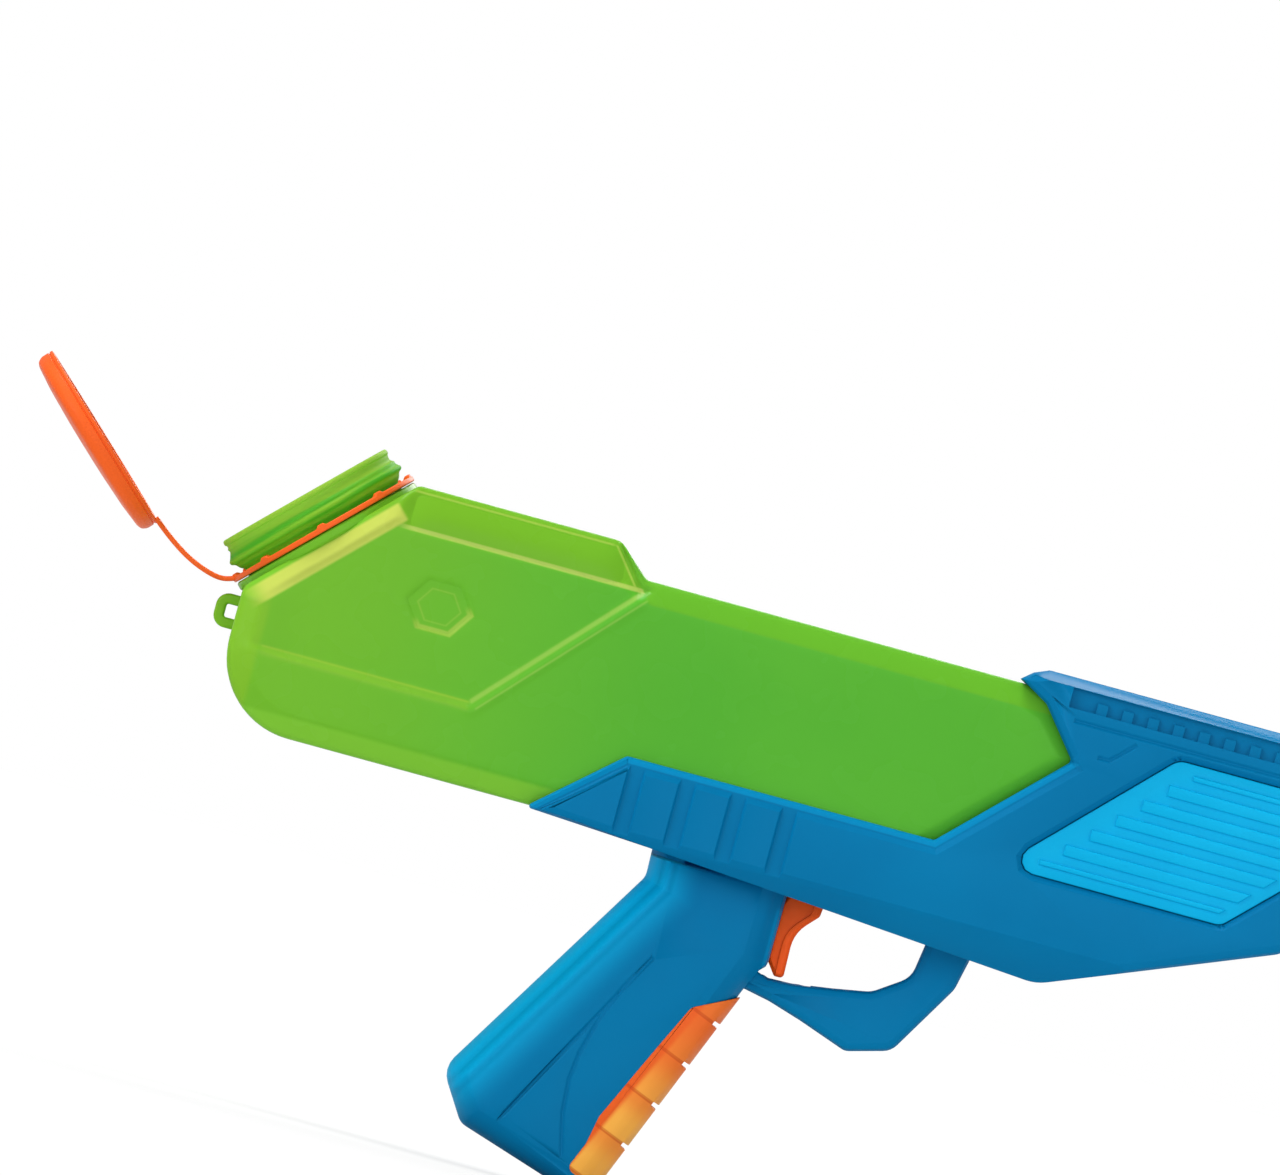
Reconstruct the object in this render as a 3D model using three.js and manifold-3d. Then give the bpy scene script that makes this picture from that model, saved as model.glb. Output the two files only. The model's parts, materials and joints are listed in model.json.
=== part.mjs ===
// A hand-held trigger water squirter: a translucent bottle tank clamped in a two-part
// housing, with a trigger-worked piston pump in the grip and a tethered snap cap.
// Millimetres. +X runs along the barrel to the muzzle, +Y to the left, +Z up.
// The origin is in the middle of the hand grip, where a hand holds the toy.
import * as THREE from "three";
import { mergeVertices } from "three/addons/utils/BufferGeometryUtils.js";
import Module from "manifold-3d";

const wasm = await Module();
wasm.setup();

// Clearances
const GAP = 0.3;
const RUNNING_GAP = 0.8;
const SEAM = 0.3;

// A length well past the whole toy, for cutting planes
const FAR = 400;
const CUT_HEIGHT = 8;

// Tank
const TANK_WIDTH = 64;
const TANK_WALL = 2.2;
const TANK_BEVEL = 8;
const TANK_REAR_X = -133.5;
const TANK_HEEL_RADIUS = 24;
const TANK_BOTTOM_Z = 57.2;
const TANK_SADDLE_Z = 62;
const TANK_STEP_X = -24;
const TANK_TOP_Z = 138;
const TANK_FRONT_TOP_Z = 129;
const TANK_TOP_STEP_X = -31.3;
const TANK_TUCK = 3;
const PANEL_RECESS = 1.6;
const MARK_X = -77.2;
const MARK_Z = 105.6;
const MARK_RADIUS = 8.2;
const MARK_DEPTH = 1.3;
const MARK_SLOPE = 1.6;
const LOOP_REACH = 6.6;
const LOOP_HEIGHT = 10;
const LOOP_BAND = 3.1;
const LOOP_WIDTH = 5;
const LOOP_Z = 88.4;
const OUTLET_RADIUS = 5.2;

// Screw neck, tilted back from upright
const NECK_TILT = 45;
const NECK_X = -115.75;
const NECK_Z = 118.55;
const NECK_RADIUS = 25.4;
const NECK_WALL = 2.4;
const NECK_HEIGHT = 11.3;
const RIM_RADIUS = 26.8;
const RIM_DEPTH = 3;
const NOTCH_RADIUS = 26.2;
const BEAD_RADIUS = 28.6;
const BEAD_DEPTH = 1.6;
const BEAD_RISE = 1.8;
const COLLAR_RADIUS = 29.6;
const SHOULDER_DROP = 3;

// Cap, ring and strap
const RING_RADIUS = 30;
const RING_DEPTH = 1.8;
const CAP_DOME = 1.2;
const CAP_WALL = 1.3;
const CAP_SWING_GAP = 1.1;
const CAP_SKIRT = 4.4;
const SEAL_DEPTH = 0.8;
const CAP_OPEN_ANGLE = 92;
const CAP_HINGE_X = -154.4;
const CAP_HINGE_Z = 96.1;
const STRAP_WIDTH = 9;
const STRAP_DEPTH = 1.5;

// Housing
const BODY_WIDTH = 71;
const BODY_BEVEL = 2.6;
const SHELL_WALL = 2.6;
const BODY_TOP_Z = 134.6;
const RIM_Z = 78.4;
const SADDLE_TIP_X = -38.2;
const SADDLE_TIP_Z = 56.5;
const BODY_KEEL_Z = 46;
const BODY_KEEL_X = 118;
const BODY_FRONT_X = 192;
const BODY_CORE_WIDTH = 60;
const CREASE_Z = 57.5;
const CREASE_DROP = 11.5;
const CREASE_IN = 9.5;
const TOP_BEVEL_DROP = 2.8;
const TOP_BEVEL_IN = 7;
const GROOVE_COUNT = 4;
const GROOVE_X = -9.5;
const GROOVE_PITCH = 15.2;
const GROOVE_WIDTH = 4.2;
const GROOVE_DEPTH = 1.2;
const GROOVE_SLOPE = 0.6;
const RIM_STRIP = 2.4;
const PAD_SLOPE = 1.6;
const CHANNEL_Z = 125.8;
const CHANNEL_HEIGHT = 5.8;
const CHANNEL_DEPTH = 2.4;
const CHANNEL_X = 106;
const TOOTH_X = 114;
const TOOTH_PITCH = 7.65;
const TOOTH_WIDTH = 3.2;
const TOOTH_HEIGHT = 3.2;
const TOOTH_DEPTH = 1.2;
const LEDGE_Z = 122.4;
const SCRIBE_WIDTH = 0.4;
const SCRIBE_DEPTH = 0.6;

// Side panel
const PANEL_THICKNESS = 2.2;
const PANEL_SINK = 0.4;
const PANEL_RIBS = 7;
const PANEL_RIB_HEIGHT = 1;
const PANEL_RIB_WIDTH = 3.2;
const PANEL_RIB_START = 6;
const PANEL_BORDER = 1.6;
const PANEL_BOTTOM_Z = 76.4;
const PANEL_TOP_Z = 119.2;
const PANEL_REAR_X = 99;
const PANEL_FRONT_X = BODY_FRONT_X - 11;

// Grip, finger insert and guard
const GRIP_WIDTH = 35;
const GRIP_BEVEL = 11;
const GRIP_TOP_Z = 58;
const GUARD_WIDTH = 15;
const GUARD_BEVEL = 2.3;
const INSERT_WALL = 2.6;
const INSERT_STEPS = 4;
const INSERT_STEP_DEPTH = 0.9;
const INSERT_FIRST = 20.2;
const INSERT_PITCH = 14.6;

// Trigger
const PIVOT_X = 50;
const PIVOT_Z = 55.5;
const PIN_RADIUS = 1.5;
const PIN_LENGTH = 30;
const HUB_RADIUS = 4;
const TRIGGER_WIDTH = 10;
const TRIGGER_BAND = 2.6;
const TRIGGER_BAND_HEIGHT = 0.6;
const TRIGGER_BACK_X = 41;
const TRIGGER_BOTTOM_Z = 28;
const TRIGGER_TOP_Z = 48;
const PIN_BOSS_RADIUS = 4.2;

// Pump
const PUMP_Z = 37;
const PUMP_REAR_X = 5;
const PUMP_LENGTH = 22;
const PUMP_RADIUS = 8;
const BORE_RADIUS = 6;
const PUMP_END_WALL = 2;
const GLAND_DEPTH = 3;
const GLAND_SPIGOT = 1.6;
const ROD_RADIUS = 3;
const PISTON_DEPTH = 4.8;
const PISTON_GROOVE = 2.6;
const PISTON_GROOVE_DEPTH = 1.5;
const RETURN_WIRE = 0.9;
const RETURN_COILS = 4.5;
const RETURN_RADIUS = 4.2;
const RIB_THICKNESS = 2;
const RIB_SPAN = 14;
const RIB_FIRST_X = 10;

// Valves
const BLOCK_LENGTH = 17;
const BLOCK_WIDTH = 11;
const BLOCK_HEIGHT = 8.4;
const BLOCK_X = 13.5;
const VALVE_PITCH = 8;
const VALVE_CAP_HEIGHT = 4.4;
const BALL_RADIUS = 2.1;
const VALVE_BORE = 2.6;
const SEAT_RADIUS = 1.4;
const SPIGOT_RADIUS = 3;
const GROMMET_FLANGE = 8;
const GROMMET_LIP = 1.4;
const VALVE_WIRE = 0.5;
const VALVE_COILS = 2.5;
const VALVE_SPRING_RADIUS = 1.6;

// Nozzle and hose
const NOZZLE_Z = 100;
const NOZZLE_RADIUS = 8;
const NOZZLE_FLANGE = 12;
const NOZZLE_FLANGE_DEPTH = 4;
const NOZZLE_REACH = 18;
const NOZZLE_TAIL = 12;
const NOZZLE_ORIFICE = 1;
const MUZZLE_RADIUS = 18;
const MUZZLE_LENGTH = 29;
const MUZZLE_TAPER = 3;
const MUZZLE_MOUTH = 11.5;
const HOSE_RADIUS = 2.2;
const HOSE_BORE = 1.4;

// Screws
const SCREW_RADIUS = 1.45;
const SCREW_HEAD_RADIUS = 3.4;
const SCREW_HEAD_DEPTH = 2.4;
const SCREW_SEAT_Y = 6;
const SCREW_LENGTH = 15;
const BOSS_WALL = 1.8;
const SCREW_PLACES = [
  [-20, -25],
  [-1, 14],
  [98, 58],
  [BODY_FRONT_X - 40, 68],
  [BODY_FRONT_X - 12, 124],
  [124, 124],
];

// How the edges of the large mouldings are rounded
const TANK_EDGE = { bevel: TANK_BEVEL, steps: 2, arcs: 4 };
const GRIP_EDGE = { bevel: GRIP_BEVEL, ease: 9, steps: 5, arcs: 4 };
const GRIP_CORE_EDGE = { bevel: GRIP_BEVEL - SHELL_WALL, ease: 6.5, steps: 2, arcs: 2 };

// Colours and finishes
const plastic = (colour, roughness) =>
  new THREE.MeshStandardMaterial({ color: colour, roughness, metalness: 0 });
const FINISH = {
  shell: plastic(0x0076ab, 0.42),
  panel: plastic(0x00a0d8, 0.4),
  orange: plastic(0xee6224, 0.4),
  tank: new THREE.MeshStandardMaterial({
    color: 0x5ab232,
    roughness: 0.25,
    metalness: 0,
    transparent: true,
    opacity: 0.85,
  }),
  rubber: plastic(0x2a2a2a, 0.8),
  natural: plastic(0xe6e6e0, 0.5),
  hose: plastic(0xd8dcd8, 0.35),
  steel: new THREE.MeshStandardMaterial({ color: 0xb8bcc0, roughness: 0.3, metalness: 1 }),
};

// Turns a closed three.js geometry into a solid that can be joined and cut.
function solid(geometry) {
  const bare = geometry.index ? geometry.toNonIndexed() : geometry.clone();
  bare.deleteAttribute("normal");
  bare.deleteAttribute("uv");
  const merged = mergeVertices(bare, 1e-3);
  const index = merged.index.array;
  const kept = [];
  for (let i = 0; i < index.length; i += 3) {
    const [a, b, c] = index.slice(i, i + 3);
    if (a !== b && b !== c && c !== a) kept.push(a, b, c);
  }
  return new wasm.Manifold(
    new wasm.Mesh({
      numProp: 3,
      vertProperties: merged.attributes.position.array,
      triVerts: new Uint32Array(kept),
    }),
  );
}

// Turns a solid back into a geometry for a mesh.
function geometryOf(body) {
  const mesh = body.getMesh();
  const geometry = new THREE.BufferGeometry();
  geometry.setAttribute("position", new THREE.BufferAttribute(mesh.vertProperties, 3));
  geometry.setIndex(new THREE.BufferAttribute(mesh.triVerts, 1));
  geometry.computeVertexNormals();
  return geometry;
}

const join = (...bodies) => bodies.reduce((all, body) => all.add(body));

// The points of a side-view outline. Corners are [x, z] where sharp and [x, z, radius] where
// rounded; every rounded corner has the same number of points, whatever its radius.
function pointsOf(corners, arcs) {
  const count = corners.length;
  return corners.flatMap(([x, z, radius], i) => {
    const here = new THREE.Vector2(x, z);
    if (radius === undefined) return [here];
    const [bx, bz] = corners[(i + count - 1) % count];
    const [ax, az] = corners[(i + 1) % count];
    const before = new THREE.Vector2(bx - x, bz - z);
    const after = new THREE.Vector2(ax - x, az - z);
    const most = 0.48 * Math.min(before.length(), after.length());
    before.normalize();
    after.normalize();
    const half = Math.acos(before.dot(after)) / 2;
    const reach = Math.min(radius / Math.tan(half), most);
    const round = reach * Math.tan(half);
    const middle = before.clone().add(after).normalize();
    const centre = here.clone().addScaledVector(middle, round / Math.sin(half));
    const start = here.clone().addScaledVector(before, reach).sub(centre);
    const sweep = (Math.PI - 2 * half) * (before.cross(after) < 0 ? 1 : -1);
    const origin = new THREE.Vector2();
    return Array.from({ length: arcs + 1 }, (_, k) =>
      start.clone().rotateAround(origin, (sweep * k) / arcs).add(centre),
    );
  });
}

// Moves every edge of an outline inwards by a distance; a negative distance grows it.
function inset(corners, distance) {
  const count = corners.length;
  return corners.map(([x, z, radius], i) => {
    const [px, pz] = corners[(i + count - 1) % count];
    const [nx, nz] = corners[(i + 1) % count];
    const into = new THREE.Vector2(x - px, z - pz).normalize();
    const out = new THREE.Vector2(nx - x, nz - z).normalize();
    const normal = new THREE.Vector2(-into.y - out.y, into.x + out.x).normalize();
    const scale = distance / normal.dot(new THREE.Vector2(-into.y, into.x));
    const convex = into.cross(out) > 0 ? 1 : -1;
    const moved = [x + normal.x * scale, z + normal.y * scale];
    if (radius === undefined) return moved;
    return [...moved, Math.max(radius - convex * distance, 0)];
  });
}

// A side-view outline given a width along Y, centred on the middle plane. The edges are eased
// over a bevel along Y and an ease across it, in a quarter round of a few steps.
function slab(corners, width, { bevel = 0, ease = bevel, steps = 2, arcs = 5 } = {}) {
  const levels = [];
  const turns = bevel > 0 ? steps : 0;
  for (let k = 0; k <= turns; k += 1) {
    const angle = turns ? (Math.PI / 2) * (k / turns) : Math.PI / 2;
    levels.push([bevel * (1 - Math.cos(angle)) - width / 2, ease * (1 - Math.sin(angle))]);
  }
  for (let k = turns; k >= 0; k -= 1) levels.push([-levels[k][0], levels[k][1]]);
  const rings = levels.map(([, shrink]) => pointsOf(inset(corners, shrink), arcs));
  const positions = rings.flatMap((ring, k) => ring.flatMap((p) => [p.x, levels[k][0], p.y]));
  const count = rings[0].length;
  const faces = [];
  for (let k = 0; k + 1 < rings.length; k += 1) {
    for (let i = 0; i < count; i += 1) {
      const next = (i + 1) % count;
      const a = k * count + i;
      const b = k * count + next;
      faces.push(a, b + count, b, a, a + count, b + count);
    }
  }
  const last = (rings.length - 1) * count;
  for (const [a, b, c] of capFaces(rings[0])) {
    faces.push(a, b, c, last + a, last + c, last + b);
  }
  const geometry = new THREE.BufferGeometry();
  geometry.setAttribute("position", new THREE.Float32BufferAttribute(positions, 3));
  geometry.setIndex(faces);
  return solid(geometry);
}

// Triangles that fill an outline, skipping points that lie on the one before.
function capFaces(ring) {
  const kept = ring
    .map((point, i) => ({ point, i }))
    .filter(({ point, i }) => point.distanceTo(ring[(i + 1) % ring.length]) > 2e-3);
  const faces = THREE.ShapeUtils.triangulateShape(kept.map(({ point }) => point), []);
  return faces.map((face) => face.map((k) => kept[k].i));
}

// An outline round an open path: its two edges lie at given distances to the path's left.
function ribbon(path, near, far) {
  const stops = path.map(([x, z]) => new THREE.Vector2(x, z));
  const ways = stops.slice(1).map((stop, i) => stop.clone().sub(stops[i]).normalize());
  const edge = (distance) =>
    stops.map((stop, i) => {
      const into = ways[Math.max(i - 1, 0)];
      const out = ways[Math.min(i, ways.length - 1)];
      const normal = new THREE.Vector2(-into.y - out.y, into.x + out.x).normalize();
      const scale = distance / normal.dot(new THREE.Vector2(-into.y, into.x));
      return [stop.x + normal.x * scale, stop.y + normal.y * scale];
    });
  return [...edge(near), ...edge(far).reverse()];
}

// A cutter for a sunk area: its floor has the outline and lies a depth below y = 0, and its
// walls lean out by a slope on the way up.
function sunk(corners, depth, slope = depth) {
  const edge = { bevel: depth, ease: slope, steps: 1, arcs: 3 };
  return slab(inset(corners, -slope), CUT_HEIGHT, edge).translate(0, CUT_HEIGHT / 2 - depth, 0);
}

// The same cutter on the left flank and on the right one.
const onFlanks = (cutter, flank) => {
  const left = cutter.translate(0, flank, 0);
  return join(left, left.mirror([0, 1, 0]));
};

// A block between two corners.
function block(x0, y0, z0, x1, y1, z1) {
  const geometry = new THREE.BoxGeometry(x1 - x0, y1 - y0, z1 - z0);
  geometry.translate((x0 + x1) / 2, (y0 + y1) / 2, (z0 + z1) / 2);
  return solid(geometry);
}

// A turned piece about local +Z: the profile is [radius, height] pairs, outside going up.
function turned(profile, sides = 24) {
  const points = profile.map(([r, h]) => new THREE.Vector2(r, h));
  const geometry = new THREE.LatheGeometry(points, sides);
  geometry.rotateX(Math.PI / 2);
  return solid(geometry);
}

// A plain round bar about local +Z between two heights.
const bar = (radius, low, high, sides = 12) =>
  turned([[0, low], [radius, low], [radius, high], [0, high]], sides);

// Lays a piece turned about +Z along +X, or along +Y, and puts it in place.
function along(body, axis, x, y, z) {
  const turn = new THREE.Matrix4();
  if (axis === "x") turn.makeRotationY(Math.PI / 2);
  if (axis === "y") turn.makeRotationX(-Math.PI / 2);
  turn.setPosition(x, y, z);
  return body.transform(turn.elements);
}

// A helical spring about local +Z as one unbroken tube with closed ends.
function spring(name, radius, wire, coils, low, high) {
  const steps = Math.round(coils * 8);
  const sides = 5;
  const rise = high - low - wire;
  const positions = [];
  const faces = [];
  const centre = (i) => {
    const turn = (2 * Math.PI * coils * i) / steps;
    const height = low + wire / 2 + (rise * i) / steps;
    return new THREE.Vector3(radius * Math.cos(turn), radius * Math.sin(turn), height);
  };
  for (let i = 0; i <= steps; i += 1) {
    const middle = centre(i);
    const outward = new THREE.Vector3(middle.x, middle.y, 0).normalize();
    for (let k = 0; k < sides; k += 1) {
      const angle = (2 * Math.PI * k) / sides;
      const point = middle.clone().addScaledVector(outward, (wire / 2) * Math.cos(angle));
      point.z += (wire / 2) * Math.sin(angle);
      positions.push(point.x, point.y, point.z);
    }
  }
  for (let i = 0; i < steps; i += 1) {
    for (let k = 0; k < sides; k += 1) {
      const a = i * sides + k;
      const b = i * sides + ((k + 1) % sides);
      faces.push(a, a + sides, b, b, a + sides, b + sides);
    }
  }
  const last = steps * sides;
  for (let k = 1; k < sides - 1; k += 1) {
    faces.push(0, k, k + 1, last, last + k + 1, last + k);
  }
  const geometry = new THREE.BufferGeometry();
  geometry.setAttribute("position", new THREE.Float32BufferAttribute(positions, 3));
  geometry.setIndex(faces);
  console.log(`${name}: least gap between turns ${(rise / coils - wire).toFixed(2)} mm`);
  return solid(geometry);
}

// The neck's own frame: height runs out along the neck, radius towards the muzzle.
const neckTurn = -THREE.MathUtils.degToRad(NECK_TILT);
const neckFrame = new THREE.Matrix4().makeRotationY(neckTurn).setPosition(NECK_X, 0, NECK_Z);
const neckPoint = (radius, height) =>
  new THREE.Vector3(radius, 0, height).applyMatrix4(neckFrame);
const inNeck = (body) => body.transform(neckFrame.elements);

// Cap heights above the ring, closed on the neck.
const sealBottom = NECK_HEIGHT + GAP;
const capInside = sealBottom + SEAL_DEPTH + GAP;
const capSkirtEnd = capInside - CAP_SKIRT;
const capBore = RIM_RADIUS + CAP_SWING_GAP;
const capRadius = capBore + CAP_WALL;

// Carries a point of the closed cap to where it hangs open.
const hinge = new THREE.Vector3(CAP_HINGE_X, 0, CAP_HINGE_Z);
const openTurn = -THREE.MathUtils.degToRad(CAP_OPEN_ANGLE);
const openPoint = (point) =>
  point.clone().sub(hinge).applyAxisAngle(new THREE.Vector3(0, 1, 0), openTurn).add(hinge);

// The side view of the tank, from its heel round to the shoulder under the neck.
const shoulderLow = neckPoint(0, -SHOULDER_DROP);
const shoulderSlope = Math.tan(THREE.MathUtils.degToRad(90 - NECK_TILT));
const shoulderAt = (x) => shoulderLow.z + (x - shoulderLow.x) * shoulderSlope;
const shoulderTopX = shoulderLow.x + (TANK_TOP_Z - shoulderLow.z) / shoulderSlope;
const rimNose = [111.1, 110.8];
const rimFoot = [rimNose[0] - (rimNose[1] - RIM_Z), RIM_Z];
const tuckShift = TANK_TUCK * Math.SQRT2;
const tankNoseX = rimNose[0] + tuckShift;
const tankCorners = [
  [TANK_REAR_X, TANK_BOTTOM_Z, TANK_HEEL_RADIUS],
  [TANK_STEP_X, TANK_BOTTOM_Z, 3],
  [TANK_STEP_X + 9, TANK_SADDLE_Z, 3],
  [tankNoseX - (rimNose[1] - TANK_SADDLE_Z), TANK_SADDLE_Z, 5],
  [tankNoseX, rimNose[1], 4],
  [tankNoseX - 13, TANK_FRONT_TOP_Z - 3, 5],
  [tankNoseX - 23, TANK_FRONT_TOP_Z, 8],
  [TANK_TOP_STEP_X + TANK_TOP_Z - TANK_FRONT_TOP_Z + 1, TANK_FRONT_TOP_Z, 3],
  [TANK_TOP_STEP_X, TANK_TOP_Z, 5],
  [shoulderTopX, TANK_TOP_Z, 3],
  [TANK_REAR_X, shoulderAt(TANK_REAR_X), 5],
];

// The rear panel's outline on the tank's flank.
const tankPanelCorners = [
  [-124, 81.4, 4],
  [-61.7, 81.4, 3],
  [-21.5, 125.6, 2],
  [-95, 125.6, 8],
  [-121, 98, 8],
];

function makeTank() {
  const outer = slab(tankCorners, TANK_WIDTH, TANK_EDGE);
  const inner = slab(inset(tankCorners, TANK_WALL), TANK_WIDTH - 2 * TANK_WALL, {
    ...TANK_EDGE,
    bevel: TANK_BEVEL - 1,
  });
  const neckBore = NECK_RADIUS - NECK_WALL;
  const neckFoot = -SHOULDER_DROP - TANK_WALL;
  const beadLow = RING_DEPTH / 2 + GAP + 0.5;
  const collarTop = -RING_DEPTH / 2 - GAP;
  const neck = inNeck(
    turned([
      [0, neckFoot],
      [COLLAR_RADIUS, neckFoot],
      [COLLAR_RADIUS, collarTop],
      [NECK_RADIUS, collarTop],
      [NECK_RADIUS, beadLow],
      [BEAD_RADIUS, beadLow + BEAD_RISE],
      [BEAD_RADIUS, beadLow + BEAD_RISE + BEAD_DEPTH],
      [NOTCH_RADIUS, NECK_HEIGHT - RIM_DEPTH - 0.4],
      [RIM_RADIUS, NECK_HEIGHT - RIM_DEPTH + 0.4],
      [RIM_RADIUS, NECK_HEIGHT - 0.6],
      [RIM_RADIUS - 0.6, NECK_HEIGHT],
      [0, NECK_HEIGHT],
    ], 40),
  );
  const mouth = inNeck(bar(neckBore, neckFoot - 6, NECK_HEIGHT + 1, 40));
  const loop = [
    [TANK_REAR_X - LOOP_REACH, LOOP_Z - LOOP_HEIGHT / 2, 3],
    [TANK_REAR_X + 1, LOOP_Z - LOOP_HEIGHT / 2],
    [TANK_REAR_X + 1, LOOP_Z + LOOP_HEIGHT / 2],
    [TANK_REAR_X - LOOP_REACH, LOOP_Z + LOOP_HEIGHT / 2, 3],
  ];
  const lanyard = slab(loop, LOOP_WIDTH, { bevel: 0.8, steps: 1, arcs: 4 });
  const eye = block(
    TANK_REAR_X - LOOP_REACH + LOOP_BAND,
    -LOOP_WIDTH,
    LOOP_Z - LOOP_HEIGHT / 2 + LOOP_BAND,
    TANK_REAR_X - GAP,
    LOOP_WIDTH,
    LOOP_Z + LOOP_HEIGHT / 2 - LOOP_BAND,
  );
  const flank = TANK_WIDTH / 2;
  const field = onFlanks(sunk(tankPanelCorners, PANEL_RECESS), flank);
  const mark = onFlanks(sunk(hexagon(MARK_RADIUS), MARK_DEPTH, MARK_SLOPE), flank - PANEL_RECESS);
  const core = inner.subtract(panelBacking());
  const body = join(outer, neck).subtract(join(field, mark));
  const outlet = bar(OUTLET_RADIUS, TANK_SADDLE_Z - 2, TANK_SADDLE_Z + 4).translate(inletX, 0, 0);
  return body.subtract(join(core, mouth, outlet)).add(lanyard.subtract(eye));
}

// Keeps the wall's thickness behind the recessed panel and its six-sided mark.
function panelBacking() {
  const flank = TANK_WIDTH / 2;
  const depth = TANK_WALL + PANEL_RECESS;
  const sheet = slab(inset(tankPanelCorners, -1), depth, { arcs: 4 });
  const deeper = slab(hexagon(MARK_RADIUS + MARK_SLOPE), depth + MARK_DEPTH);
  return onFlanks(
    join(sheet.translate(0, -depth / 2, 0), deeper.translate(0, -(depth + MARK_DEPTH) / 2, 0)),
    flank,
  );
}

// A six-cornered outline round the sunk mark, longer fore and aft.
function hexagon(radius) {
  return [0, 1, 2, 3, 4, 5].map((i) => {
    const angle = (Math.PI / 3) * i;
    return [MARK_X + radius * Math.cos(angle), MARK_Z + 0.85 * radius * Math.sin(angle)];
  });
}

function makeGrommet() {
  const low = TANK_SADDLE_Z - GROMMET_LIP - GAP;
  const seat = TANK_SADDLE_Z - GAP;
  const top = TANK_SADDLE_Z + TANK_WALL + GAP;
  const bore = SPIGOT_RADIUS + GAP;
  return turned([
    [bore, low],
    [GROMMET_FLANGE, low],
    [GROMMET_FLANGE, seat],
    [OUTLET_RADIUS - GAP, seat],
    [OUTLET_RADIUS - GAP, top],
    [OUTLET_RADIUS + 1.6, top],
    [OUTLET_RADIUS - 0.4, top + GROMMET_LIP],
    [bore, top + GROMMET_LIP],
    [bore, low],
  ]).translate(inletX, 0, 0);
}

// The side view of the upper housing, from the saddle's tip forward and back over the rail.
const bodyCorners = [
  [SADDLE_TIP_X, SADDLE_TIP_Z, 0.8],
  [0.5, 54.4],
  [84.3, 48.4],
  [BODY_KEEL_X, BODY_KEEL_Z, 14],
  [BODY_FRONT_X - 8, 73, 8],
  [BODY_FRONT_X, 82, 4],
  [BODY_FRONT_X, BODY_TOP_Z, 5],
  [98.6, BODY_TOP_Z, 1],
  [94.3, 132.8],
  [91, 130],
  [99.6, 125, 2],
  [...rimNose, 1.5],
  [...rimFoot, 1.5],
  [-13.4, RIM_Z, 1.5],
];

// The side view of the hollow under the tank and ahead of its nose.
const cradle = tuckShift + (GAP + SHELL_WALL) * Math.SQRT2;
const coreTop = BODY_TOP_Z - SHELL_WALL;
const coreNoseX = rimNose[0] + cradle;
const coreCorners = [
  [-6, 54.9 + SHELL_WALL],
  [84.3, 48.4 + SHELL_WALL],
  [BODY_KEEL_X, BODY_KEEL_Z + SHELL_WALL, 12],
  [BODY_FRONT_X - 8 - SHELL_WALL, 73 + SHELL_WALL, 6],
  [BODY_FRONT_X - SHELL_WALL, 84, 3],
  [BODY_FRONT_X - SHELL_WALL, coreTop, 3],
  [coreNoseX, coreTop],
  [coreNoseX, rimNose[1]],
  [coreNoseX - (rimNose[1] - TANK_SADDLE_Z), TANK_SADDLE_Z],
  [-6, TANK_SADDLE_Z],
];

// The side view of the grip; its top runs up into the housing.
const gripFrontTop = [40.7, GRIP_TOP_Z];
const gripFrontLow = [8.2, -49.5];
const gripFrontKnee = [40.5, 31];
const gripCorners = [
  [0.6, GRIP_TOP_Z],
  [1, 46, 5],
  [-41, -23, 7],
  [-32, -37, 5],
  [...gripFrontLow, 5],
  [...gripFrontKnee, 6],
  gripFrontTop,
];

// Creases on the grip's flank: a straight one and a curved one from the same point.
const creaseTop = [9, 23.8];
const creases = [
  [creaseTop, [-22.7, -35.1]],
  [creaseTop, [3.2, 13.6], [-1.1, 3.3], [-4, -8], [-4.9, -15.8], [-4.2, -26], [-1.2, -38.7]],
];

// The finger insert's outline: its back edge follows the grip, its front is cut by the grip.
const insertCorners = [
  [1.5, -41.5, 2],
  [14, -45.5],
  [46, 17.5],
  [36.5, 19.2],
  [24, 12.8, 3],
  [17.9, 0],
  [6.6, -24.5, 6],
  [5, -33, 4],
];

// The trigger guard: a bar under the trigger that flares down and turns up to the housing.
const guardCorners = [
  [35, 22.6],
  [45, 20.6, 6],
  [55, 17.6],
  [70, 12.4, 4],
  [83, 16, 6],
  [96, 38, 8],
  [99, 52],
  [85, 52],
  [83, 38, 7],
  [73, 31, 8],
  [62, 29],
  [50, 27.2],
  [43, 27],
  [35, 30],
];

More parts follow.
